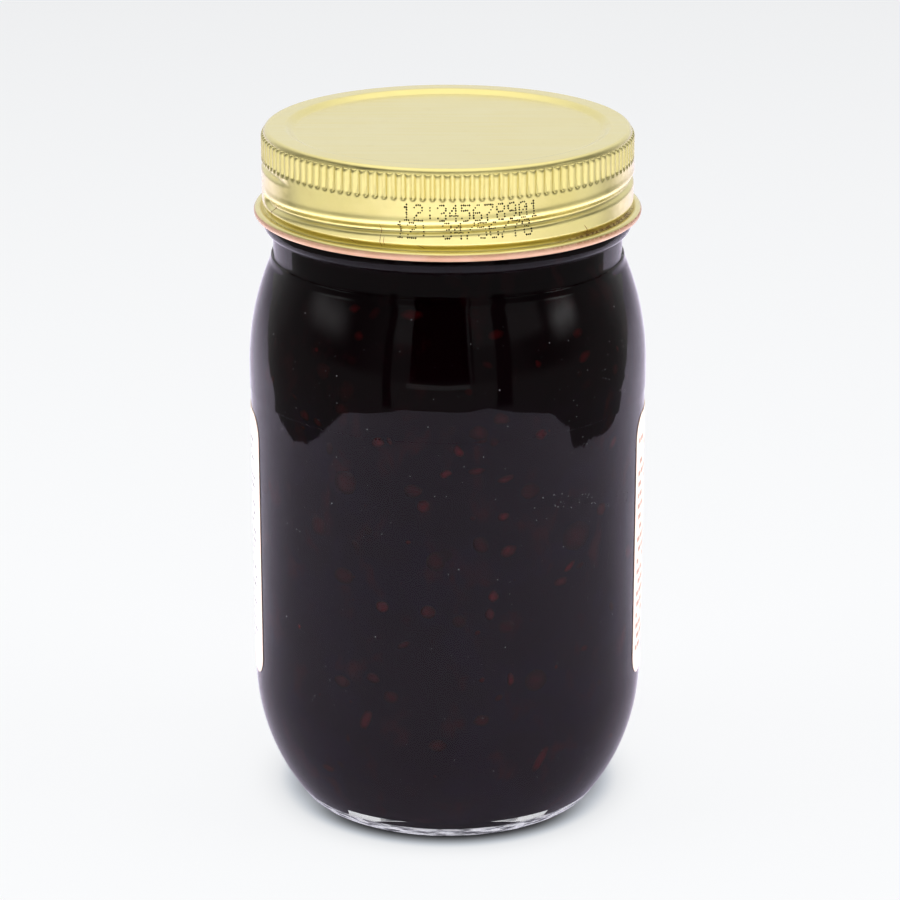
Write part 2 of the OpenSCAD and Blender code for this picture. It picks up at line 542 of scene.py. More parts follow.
class Finish:
    """A material in the making: its tree, its surface shader and the coordinates it reads."""

    def __init__(self, name: str, effects: Effects, **plain: object) -> None:
        """Starts a material.

        Args:
            name: Name of the finish.
            effects: The shared node groups.
            plain: Values that are the same all over, by socket name with _ for a space.
        """
        self.material = bpy.data.materials.new(name)
        self.material.use_nodes = True
        self.effects = effects
        self.graph = Graph(self.material.node_tree)
        self.shader = self.material.node_tree.nodes["Principled BSDF"]
        for key, value in plain.items():
            self.shader.inputs[key.replace("_", " ")].default_value = value
        coordinates = self.graph.node("ShaderNodeTexCoord")
        self.place = coordinates.outputs["Object"]
        self.uv = coordinates.outputs["UV"]

    def effect(self, tree: bpy.types.NodeTree, output: str, **values: Value) -> Socket:
        """Places a shared effect.

        Args:
            tree: The effect's node group.
            output: Name of the output to use.
            values: Inputs by name with _ for a space.

        Returns:
            The output socket.
        """
        node = self.graph.node("ShaderNodeGroup", node_tree=tree)
        for key, value in values.items():
            self.graph.feed(node.inputs[key.replace("_", " ")], value)
        return node.outputs[output]

    def blotches(self, scale: float, low: float, high: float, place: Socket | None = None) -> Socket:
        """Soft patches between two noise levels, in the piece's own coordinates unless others are given."""
        vector = self.place if place is None else place
        return self.effect(self.effects.blotch, "Mask", Vector=vector, Scale=scale, Low=low, High=high)

    def sector(self, angle: float, half_width: float, fade: float) -> Socket:
        """A stretch of the way round the jar, in degrees."""
        return self.effect(self.effects.sector, "Mask", Vector=self.place, Angle=angle, Half_width=half_width,
                           Fade=fade)

    def bump(self, height: Socket, distance: float, strength: float = 1.0) -> None:
        """Feeds a relief of that depth in metres to the shader's normal."""
        node = self.graph.node("ShaderNodeBump",
                               {"Height": height, "Distance": distance, "Strength": strength})
        self.graph.feed(self.shader.inputs["Normal"], node.outputs[0])

    def rough(self, share: Socket, low: float, high: float) -> None:
        """Spreads the roughness between two values by a share."""
        self.set("Roughness", self.graph.ramp(share, 0.0, 1.0, low, high))

    def set(self, name: str, value: Value) -> None:
        """Feeds one of the shader's inputs."""
        self.graph.feed(self.shader.inputs[name], value)


# ---------------------------------------------------------------- finishes


@dataclass(frozen=True)
class ClearGlass:
    """Flint glass with a faintly wavy skin and a little dirt on it."""

    waviness: float = 0.00005
    wave_scale: float = 130.0
    smudge_foot: float = 0.0665
    smudge_head: float = 0.0725
    tint: Colour = (0.975, 0.985, 0.98, 1.0)
    dried: Colour = (0.25, 0.2, 0.22, 1.0)

    def make(self, effects: Effects) -> bpy.types.Material:
        """Builds the material.

        Args:
            effects: The shared node groups.

        Returns:
            The material.
        """
        f = Finish("clear_glass", effects, Transmission_Weight=1.0, IOR=1.5, Metallic=0.0)
        g = f.graph
        smudge = f.blotches(260.0, 0.55, 0.75)
        side = f.sector(50.0, 24.0, 9.0)
        level = g.box(g.split(f.place)[2], self.smudge_foot, self.smudge_head, 0.0020)
        mark = g.times(smudge, side, level)
        f.set("Base Color", g.mix(mark, self.tint, self.dried))
        f.set("Roughness", g.times(mark, 0.3))
        f.bump(g.noise(f.place, self.wave_scale, 1.0, 0.4), self.waviness)
        return f.material


@dataclass(frozen=True)
class FrostedKnurlPaintedLight:
    """Frosted glass of the knurled band in the heel, with painted streaks of light and shade and a painted
    glow.
    """

    light: Colour = (0.93, 0.94, 0.95, 1.0)
    shade: Colour = (0.20, 0.20, 0.22, 1.0)
    streak_round: float = 0.14
    streak_up: float = 1500.0
    # Painted light: the band glows, though it is no lamp.
    glow: float = 0.5

    def make(self, effects: Effects) -> bpy.types.Material:
        """Builds the material.

        Args:
            effects: The shared node groups.

        Returns:
            The material.
        """
        f = Finish("frosted_knurl", effects, Specular_IOR_Level=0.2)
        g = f.graph
        turn = g.times(g.angle(f.place), self.streak_round)
        rise = g.times(g.split(f.place)[2], self.streak_up)
        spot = g.node("ShaderNodeCombineXYZ", {0: turn, 1: rise}).outputs[0]
        painted_streak = f.blotches(0.9, 0.36, 0.62, spot)
        colour = g.mix(painted_streak, self.shade, self.light)
        f.set("Base Color", colour)
        # Painted light and shade: the streaks' colour also glows.
        f.set("Emission Color", colour)
        f.shader.inputs["Emission Strength"].default_value = self.glow
        f.rough(painted_streak, 0.5, 0.7)
        return f.material


@dataclass(frozen=True)
class BerryJam:
    """Nearly opaque dark berry jam with fuzzy red patches where pulp lies near the glass."""

    deep: Colour = (0.020, 0.0036, 0.0062, 1.0)
    blue: Colour = (0.021, 0.0045, 0.021, 1.0)
    red: Colour = (0.060, 0.0050, 0.0085, 1.0)
    blue_foot: float = 0.080
    blue_head: float = 0.098

    def make(self, effects: Effects) -> bpy.types.Material:
        """Builds the material.

        Args:
            effects: The shared node groups.

        Returns:
            The material.
        """
        f = Finish("berry_jam", effects, Specular_IOR_Level=0.0, IOR=1.4)
        g = f.graph
        cool = f.blotches(70.0, 0.42, 0.7)
        warm = f.blotches(115.0, 0.52, 0.78, g.stretched(f.place, (1.3, 1.3, 1.0)))
        low = g.ramp(g.split(f.place)[2], self.blue_foot, self.blue_head, 1.0, 0.1)
        body = g.mix(g.times(g.ramp(cool, 0.0, 1.0, 0.4, 1.0), low), self.deep, self.blue)
        f.set("Base Color", g.mix(warm, body, self.red))
        f.set("Roughness", g.ramp(g.noise(f.place, 500.0), 0.3, 0.7, 0.35, 0.6))
        return f.material


@dataclass(frozen=True)
class Pulp:
    """Red berry skin and pulp pressed against the glass, which fades into the jam at its edges."""

    bright: Colour = (0.26, 0.012, 0.016, 1.0)
    edge: Colour = (0.022, 0.0036, 0.006, 1.0)

    def make(self, effects: Effects) -> bpy.types.Material:
        """Builds the material.

        Args:
            effects: The shared node groups.

        Returns:
            The material.
        """
        f = Finish("berry_pulp", effects, Specular_IOR_Level=0.0, IOR=1.4)
        g = f.graph
        ripe = g.node("ShaderNodeAttribute", attribute_name="ripe").outputs["Fac"]
        cloud = f.blotches(900.0, 0.3, 0.75)
        share = g.math("MULTIPLY", ripe, g.ramp(cloud, 0.0, 1.0, 0.65, 1.0), clamp=True)
        f.set("Base Color", g.mix(share, self.edge, self.bright))
        f.rough(cloud, 0.4, 0.6)
        return f.material


@dataclass(frozen=True)
class GoldTinplate:
    """Tinplate under gold lacquer: satin, with rolling grain, faint stains and rust at the seam."""

    gold: Colour = (0.92, 0.82, 0.36, 1.0)
    pale: Colour = (0.94, 0.86, 0.45, 1.0)
    stain: Colour = (0.62, 0.45, 0.12, 1.0)
    rust: Colour = (0.30, 0.10, 0.025, 1.0)
    roughness: float = 0.33
    seam_foot: float = 0.1209
    seam_head: float = 0.1214
    seam_r: float = 0.0359

    def make(self, effects: Effects) -> bpy.types.Material:
        """Builds the material.

        Args:
            effects: The shared node groups.

        Returns:
            The material.
        """
        f = Finish("gold_tinplate", effects, Coat_Weight=1.0, Coat_Roughness=0.22, Coat_IOR=1.5)
        g = f.graph
        height = g.split(f.place)[2]
        grain = f.effect(effects.grain, "Height", Vector=f.place, Fineness=1400.0, Length=0.04)
        shade = f.effect(effects.grain, "Shade", Vector=f.place, Fineness=700.0, Length=0.03)
        cloud = f.blotches(45.0, 0.35, 0.7)
        body = g.mix(g.times(g.plus(cloud, shade), 0.5), self.gold, self.pale)
        stain = f.blotches(300.0, 0.6, 0.78)
        body = g.mix(g.times(stain, 0.07), body, self.stain)
        x, y, _ = g.split(f.place)
        seam = g.times(g.box(height, self.seam_foot, self.seam_head, 0.0002),
                       g.ramp(g.reach(x, y), self.seam_r, self.seam_r + 0.0003, 1.0, 0.0))
        right = f.sector(64.0, 34.0, 18.0)
        flake = f.blotches(1100.0, 0.46, 0.6)
        edge = g.times(seam, right, g.ramp(flake, 0.0, 1.0, 0.25, 1.0))
        body = g.mix(g.times(edge, 0.7), body, self.rust)
        f.set("Base Color", body)
        f.set("Metallic", g.ramp(edge, 0.1, 0.8, 1.0, 0.35))
        rough = g.ramp(shade, 0.3, 0.7, self.roughness - 0.05, self.roughness + 0.07)
        f.set("Roughness", g.plus(rough, g.times(edge, 0.4)))
        f.bump(grain, 0.000006)
        return f.material


@dataclass(frozen=True)
class CurlLacquer:
    """Salmon lacquer from the inside of the sheet, which the rolled edge turns outwards."""

    salmon: Colour = (0.81, 0.53, 0.36, 1.0)
    pale: Colour = (0.86, 0.59, 0.43, 1.0)
    rust: Colour = (0.55, 0.22, 0.09, 1.0)
    seam: float = 0.1210

    def make(self, effects: Effects) -> bpy.types.Material:
        """Builds the material.

        Args:
            effects: The shared node groups.

        Returns:
            The material.
        """
        f = Finish("curl_lacquer", effects, Coat_Weight=0.25, Coat_Roughness=0.2, Metallic=0.15)
        g = f.graph
        cloud = f.blotches(200.0, 0.35, 0.65)
        grain = f.effect(effects.grain, "Height", Vector=f.place, Fineness=1600.0, Length=0.2)
        body = g.mix(cloud, self.salmon, self.pale)
        near = g.ramp(g.split(f.place)[2], self.seam - 0.0007, self.seam + 0.0001)
        right = f.sector(75.0, 60.0, 40.0)
        flake = f.blotches(1300.0, 0.42, 0.58)
        worn = g.times(near, flake, g.ramp(right, 0.0, 1.0, 0.12, 1.0))
        f.set("Base Color", g.mix(worn, body, self.rust))
        f.rough(cloud, 0.34, 0.44)
        f.bump(grain, 0.00001)
        return f.material


@dataclass(frozen=True)
class Rust:
    """Dry red-brown rust."""

    dark: Colour = (0.12, 0.035, 0.012, 1.0)
    light: Colour = (0.42, 0.15, 0.05, 1.0)

    def make(self, effects: Effects) -> bpy.types.Material:
        """Builds the material.

        Args:
            effects: The shared node groups.

        Returns:
            The material.
        """
        f = Finish("rust", effects)
        g = f.graph
        cloud = f.blotches(1500.0, 0.35, 0.65)
        f.set("Base Color", g.mix(cloud, self.dark, self.light))
        f.rough(cloud, 0.7, 0.95)
        f.bump(g.noise(f.place, 3000.0, 3.0), 0.00008)
        return f.material


@dataclass(frozen=True)
class CodeInk:
    """Black ink of the dot printer, thin enough to show a little of the gold."""

    black: Colour = (0.010, 0.008, 0.003, 1.0)
    thin: Colour = (0.05, 0.035, 0.01, 1.0)

    def make(self, effects: Effects) -> bpy.types.Material:
        """Builds the material.

        Args:
            effects: The shared node groups.

        Returns:
            The material.
        """
        f = Finish("code_ink", effects, Specular_IOR_Level=0.1)
        g = f.graph
        cloud = f.blotches(900.0, 0.5, 0.75)
        f.set("Base Color", g.mix(cloud, self.black, self.thin))
        f.rough(cloud, 0.45, 0.6)
        return f.material


@dataclass(frozen=True)
class Dust:
    """Pale dust and dried crumbs on the outside of the glass."""

    dark: Colour = (0.14, 0.12, 0.13, 1.0)
    pale: Colour = (0.38, 0.35, 0.37, 1.0)

    def make(self, effects: Effects) -> bpy.types.Material:
        """Builds the material.

        Args:
            effects: The shared node groups.

        Returns:
            The material.
        """
        f = Finish("pale_dust", effects, Specular_IOR_Level=0.2)
        g = f.graph
        cloud = f.blotches(2500.0, 0.35, 0.65)
        f.set("Base Color", g.mix(cloud, self.dark, self.pale))
        f.rough(cloud, 0.6, 0.9)
        return f.material


@dataclass(frozen=True)
class LabelPaper:
    """Coated peach paper printed with plain fields and bars, placed by a UV map in millimetres.

    The map's U is the distance round the jar from the back and its V the height on the label.
    """

    half: float
    height: float
    peach: Colour = (0.93, 0.77, 0.66, 1.0)
    white: Colour = (0.96, 0.95, 0.94, 1.0)
    grey: Colour = (0.30, 0.28, 0.28, 1.0)
    brown: Colour = (0.42, 0.22, 0.15, 1.0)
    plum: Colour = (0.16, 0.04, 0.08, 1.0)
    fibre: Colour = (0.86, 0.74, 0.66, 1.0)

    def make(self, effects: Effects) -> bpy.types.Material:
        """Builds the material.

        Args:
            effects: The shared node groups.

        Returns:
            The material.
        """
        f = Finish("label_paper", effects, Specular_IOR_Level=0.45)
        g = f.graph
        across, up, _ = g.split(f.uv)
        fibre = g.noise(f.place, 2600.0, 4.0, 0.65)
        body = g.mix(g.ramp(fibre, 0.3, 0.7, 0.0, 0.35), self.peach, self.fibre)
        facts = self._panel(g, across, up, self.half - 33.0, self.half - 1.6, 3.0, self.height - 3.0, 3.0)
        body = g.mix(facts, body, self.white)
        small = f.effect(effects.bars, "Mask", Across=across, Up=up, Line_height=1.9, Word_length=2.6,
                         Cover=0.78)
        in_facts = self._panel(g, across, up, self.half - 31.0, self.half - 4.2, 5.0, self.height - 5.5, 0.5)
        body = g.mix(g.times(small, in_facts), body, self.grey)
        notes = f.effect(effects.bars, "Mask", Across=across, Up=up, Line_height=2.3, Word_length=3.1,
                         Cover=0.66)
        in_notes = self._panel(g, across, up, 1.8 - self.half, 32.0 - self.half, 4.0, self.height - 4.5, 0.5)
        body = g.mix(g.times(notes, in_notes, 0.75), body, self.brown)
        band = self._panel(g, across, up, -30.0, 30.0, 9.0, self.height - 9.0, 8.0)
        rim = g.minus(band, self._panel(g, across, up, -28.8, 28.8, 10.2, self.height - 10.2, 6.8))
        body = g.mix(band, body, self.white)
        body = g.mix(rim, body, self.plum)
        title = self._panel(g, across, up, -19.0, 19.0, self.height * 0.52, self.height * 0.70, 2.5)
        body = g.mix(title, body, self.plum)
        under = self._panel(g, across, up, -13.0, 13.0, self.height * 0.40, self.height * 0.45, 1.2)
        body = g.mix(under, body, self.brown)
        f.set("Base Color", body)
        f.set("Roughness", g.ramp(fibre, 0.3, 0.7, 0.42, 0.55))
        f.bump(fibre, 0.00001)
        return f.material

    @staticmethod
    def _panel(g: Graph, across: Socket, up: Socket, left: float, right: float, foot: float, head: float,
               corner: float) -> Socket:
        """A filled rectangle with round corners.

        Args:
            g: The material's graph.
            across: Distance round the jar.
            up: Height on the label.
            left: Lowest distance.
            right: Highest distance.
            foot: Lowest height.
            head: Highest height.
            corner: Radius of the corners.

        Returns:
            1 inside and 0 outside.
        """
        past = []
        for value, low, high in ((across, left, right), (up, foot, head)):
            off = g.math("ABSOLUTE", g.minus(value, (low + high) / 2))
            past.append(g.math("MAXIMUM", g.minus(off, (high - low) / 2 - corner), 0.0))
        return g.ramp(g.reach(*past), corner - 0.06, corner + 0.06, 1.0, 0.0)


# ---------------------------------------------------------------- repeated things


class Stamp(Enum):
    """What a scattering puts on each of its points."""

    BLOB = "blob"
    DOT = "dot"


class Grower:
    """A Geometry Nodes tree in the making, which ends in one plain mesh of one material."""

    def __init__(self, name: str, **inputs: str) -> None:
        """Starts the tree.

        Args:
            name: What the tree makes.
            inputs: Kind of socket for each named input, with _ for a space.
        """
        self.tree = bpy.data.node_groups.new(name, "GeometryNodeTree")
        face = self.tree.interface
        face.new_socket("Geometry", in_out="INPUT", socket_type="NodeSocketGeometry")
        for label, kind in {**inputs, "Material": "Material"}.items():
            face.new_socket(label.replace("_", " "), in_out="INPUT", socket_type="NodeSocket" + kind)
        face.new_socket("Geometry", in_out="OUTPUT", socket_type="NodeSocketGeometry")
        self.graph = Graph(self.tree)
        self.inputs = self.graph.node("NodeGroupInput").outputs

    def named(self, name: str, kind: str) -> Socket:
        """A named attribute of the geometry that reaches the node."""
        node = self.graph.node("GeometryNodeInputNamedAttribute", {"Name": name}, data_type=kind)
        return node.outputs["Attribute"]

    def chance(self, low: Value, high: Value, seed: Value) -> Socket:
        """A random number between two limits.

        Args:
            low: Lower limit.
            high: Upper limit.
            seed: Seed of the draw.

        Returns:
            The number.
        """
        node = self.graph.node("FunctionNodeRandomValue", data_type="FLOAT")
        for name, value in (("Min_001", low), ("Max_001", high), ("Seed", seed)):
            self.graph.feed(next(s for s in node.inputs if s.identifier == name), value)
        return next(s for s in node.outputs if s.identifier == "Value_001")

    def store(self, geometry: Socket, name: str, value: Socket, domain: str = "POINT") -> Socket:
        """The geometry with a number kept under a name.

        Args:
            geometry: The geometry.
            name: Name of the number.
            value: The number.
            domain: What it is kept on.

        Returns:
            The geometry.
        """
        node = self.graph.node("GeometryNodeStoreNamedAttribute",
                               {"Geometry": geometry, "Name": name, "Value": value},
                               data_type="FLOAT", domain=domain)
        return node.outputs[0]

    def stamp(self, shape: Stamp) -> Socket:
        """The small mesh that is put on each point, one unit in radius, with its fade kept on it.

        Args:
            shape: Which mesh.

        Returns:
            The mesh.
        """
        if shape is Stamp.DOT:
            kind, sizes = "GeometryNodeMeshCylinder", {"Vertices": 8, "Radius": 1.0, "Depth": 1.0}
        else:
            kind, sizes = "GeometryNodeMeshIcoSphere", {"Radius": 1.0, "Subdivisions": 2}
        mesh = self.graph.node(kind, sizes).outputs["Mesh"]
        x, y, _ = self.graph.split(self.graph.node("GeometryNodeInputPosition").outputs[0])
        far = self.graph.plus(self.graph.times(x, x), self.graph.times(y, y))
        return self.store(mesh, "ripe", self.graph.math("SUBTRACT", 1.0, far, clamp=True))

    def close(self, geometry: Socket, merge: float = 0.0) -> None:
        """Ends the tree.

        Args:
            geometry: What has been made, instances and all.
            merge: Distance in metres within which points are joined, or 0.
        """
        solid = self.graph.node("GeometryNodeRealizeInstances", {"Geometry": geometry}).outputs[0]
        if merge:
            solid = self.graph.node("GeometryNodeMergeByDistance",
                                    {"Geometry": solid, "Distance": merge}).outputs[0]
        dressed = self.graph.node("GeometryNodeSetMaterial",
                                  {"Geometry": solid, "Material": self.inputs["Material"]})
        self.graph.node("NodeGroupOutput", {"Geometry": dressed.outputs[0]})

    def grow(self, name: str, host: bpy.types.Object, corner: float = 40.0,
             **values: object) -> bpy.types.Object:
        """Runs the tree on a host, which is used up.

        Args:
            name: Name of the piece.
            host: Object whose mesh goes into the tree.
            corner: Angle in degrees past which an edge stays sharp.
            values: The tree's inputs by name, with _ for a space.

        Returns:
            The piece, as a plain mesh.
        """
        modifier = host.modifiers.new(name, "NODES")
        modifier.node_group = self.tree
        for item in self.tree.interface.items_tree:
            key = item.name.replace(" ", "_")
            if item.in_out == "INPUT" and key in values:
                modifier[item.identifier] = values[key]
        depsgraph = bpy.context.evaluated_depsgraph_get()
        mesh = bpy.data.meshes.new_from_object(host.evaluated_get(depsgraph))
        mesh.name = name
        mesh.shade_smooth()
        mesh.set_sharp_from_angle(angle=math.radians(corner))
        bpy.data.objects.remove(host)
        piece = bpy.data.objects.new(name, mesh)
        bpy.context.scene.collection.objects.link(piece)
        return piece


def ring_grower() -> Grower:
    """A tree that repeats a strip round the Z axis and joins it into a ring.

    Returns:
        The tree, which takes a Count.
    """
    grower = Grower("ring_of_strips", Count="Int")
    g, count = grower.graph, grower.inputs["Count"]
    points = g.node("GeometryNodePoints", {"Count": count}).outputs[0]
    turn = g.math("DIVIDE", 2 * math.pi, count)
    angle = g.times(g.node("GeometryNodeInputIndex").outputs[0], turn)
    spin = g.node("ShaderNodeCombineXYZ", {2: angle}).outputs[0]
    strips = g.node("GeometryNodeInstanceOnPoints",
                    {"Points": points, "Instance": grower.inputs["Geometry"], "Rotation": spin})
    grower.close(strips.outputs[0], 0.02 * MM)
    return grower


def stamp_grower(shape: Stamp) -> Grower:
    """A tree that stamps a shape on marked points, each with its own facing, direction, size and strength.

    Args:
        shape: What is stamped.

    Returns:
        The tree.
    """
    grower = Grower("stamped_" + shape.value, Roughen="Float", Grain="Float")
    g = grower.graph
    turned_to = g.node("FunctionNodeAxesToRotation",
                       {0: grower.named("facing", "FLOAT_VECTOR"), 1: grower.named("along", "FLOAT_VECTOR")},
                       primary_axis="Z", secondary_axis="X")
    placed = g.node("GeometryNodeInstanceOnPoints",
                    {"Points": grower.inputs["Geometry"], "Instance": grower.stamp(shape),
                     "Rotation": turned_to.outputs[0], "Scale": grower.named("size", "FLOAT_VECTOR")})
    grower.close(_faded(grower, placed.outputs[0]))
    return grower


def scatter_grower() -> Grower:
    """A tree that scatters uneven flat blobs over its host's faces and leaves the host out.

    Returns:
        The tree.
    """
    grower = Grower("scattered_blobs", Density="Float", Seed="Int", Smallest="Float", Largest="Float",
                    Flatness="Float", Roughen="Float", Grain="Float", Weakest="Float", Strongest="Float")
    g, i = grower.graph, grower.inputs
    spread = g.node("GeometryNodeDistributePointsOnFaces",
                    {"Mesh": i["Geometry"], "Density": i["Density"], "Seed": i["Seed"]},
                    distribute_method="RANDOM")
    spin = g.node("ShaderNodeCombineXYZ", {2: grower.chance(0.0, 2 * math.pi, 3)}).outputs[0]
    turned_to = g.node("FunctionNodeRotateRotation", {0: spread.outputs["Rotation"], 1: spin},
                       rotation_space="LOCAL")
    luck = g.math("POWER", grower.chance(0.0, 1.0, 5), 2.5)
    size = g.plus(i["Smallest"], g.times(luck, g.minus(i["Largest"], i["Smallest"])))
    narrow = g.times(size, grower.chance(0.45, 1.0, 7))
    scale = g.node("ShaderNodeCombineXYZ", {0: size, 1: narrow, 2: g.times(size, i["Flatness"])})
    placed = g.node("GeometryNodeInstanceOnPoints",
                    {"Points": spread.outputs["Points"], "Instance": grower.stamp(Stamp.BLOB),
                     "Rotation": turned_to.outputs[0], "Scale": scale.outputs[0]})
    strength = grower.chance(i["Weakest"], i["Strongest"], 11)
    grower.close(_faded(grower, grower.store(placed.outputs[0], "strength", strength, "INSTANCE")))
    return grower


def _faded(grower: Grower, instances: Socket) -> Socket:
    """Makes instances real, roughens their outlines along the wall and weights their fade by their strength.

    Args:
        grower: The tree, with inputs Roughen in metres and Grain in noise scale.
        instances: The instances, with a strength of their own.

    Returns:
        The roughened mesh.
    """
    g = grower.graph
    solid = g.node("GeometryNodeRealizeInstances", {"Geometry": instances}).outputs[0]
    ripe = g.times(grower.named("ripe", "FLOAT"), grower.named("strength", "FLOAT"))
    solid = grower.store(solid, "ripe", ripe)
    noise = g.node("ShaderNodeTexNoise", {"Scale": grower.inputs["Grain"]}).outputs["Color"]
    shift = g.vector("SUBTRACT", noise, (0.5, 0.5, 0.5))
    scaled = g.node("ShaderNodeVectorMath", {0: shift, "Scale": grower.inputs["Roughen"]}, operation="SCALE")
    place = g.node("GeometryNodeInputPosition").outputs[0]
    outward = g.vector("MULTIPLY", place, (1.0, 1.0, 0.0))
    through = g.vector("PROJECT", scaled.outputs[0], outward)
    flat = g.vector("SUBTRACT", scaled.outputs[0], through)
    return g.node("GeometryNodeSetPosition", {"Geometry": solid, "Offset": flat}).outputs[0]


def marked_points(name: str, place: np.ndarray, facing: np.ndarray, along: np.ndarray, size: np.ndarray,
                  strength: np.ndarray) -> bpy.types.Object:
    """Loose points that carry what the stamping tree reads.

    Args:
        name: Name of the object.
        place: Points in millimetres.
        facing: Direction that each stamp's Z looks along.
        along: Direction of each stamp's X.
        size: Half sizes of each stamp in millimetres.
        strength: Weight of each stamp's fade.

    Returns:
        The object.
    """
    points = finish_mesh(name, place, [])
    for label, kind, key, value in (("facing", "FLOAT_VECTOR", "vector", facing),
                                    ("along", "FLOAT_VECTOR", "vector", along),
                                    ("size", "FLOAT_VECTOR", "vector", size * MM),
                                    ("strength", "FLOAT", "value", strength)):
        layer = points.data.attributes.new(label, kind, "POINT")
        layer.data.foreach_set(key, np.asarray(value, np.float32).ravel())
    return points


def around(angle: np.ndarray | float) -> tuple[np.ndarray, np.ndarray]:
    """Outward and rightward directions at an angle in degrees round the axis.

    Args:
        angle: Angles in degrees, 0 at the front.

    Returns:
        Both directions, one row each.
    """
    turn = np.radians(np.asarray(angle, float))
    zero = np.zeros_like(turn)
    outward = np.stack((np.sin(turn), -np.cos(turn), zero), -1)
    return outward, np.stack((np.cos(turn), np.sin(turn), zero), -1)


# ---------------------------------------------------------------- sizes of the part


@dataclass(frozen=True)
class Datum:
    """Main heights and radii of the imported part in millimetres, read from its nodes."""

    rim: float
    body_r: float
    fill: float
    lid_top: float
    lid_foot: float
    label_foot: float
    label_top: float
    label_r: float

    @classmethod
    def read(cls) -> Datum:
        """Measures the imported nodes."""
        box = {name: [np.array(corner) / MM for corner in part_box(name)]
               for name in ("jar", "jam", "lid", "label")}
        return cls(
            rim=float(box["jar"][1][2]),
            body_r=float(box["jar"][1][0]),
            fill=float(box["jam"][1][2]),
            lid_top=float(box["lid"][1][2]),
            lid_foot=float(box["lid"][0][2]),
            label_foot=float(box["label"][0][2]),
            label_top=float(box["label"][1][2]),
            label_r=float(box["label"][1][0]),
        )


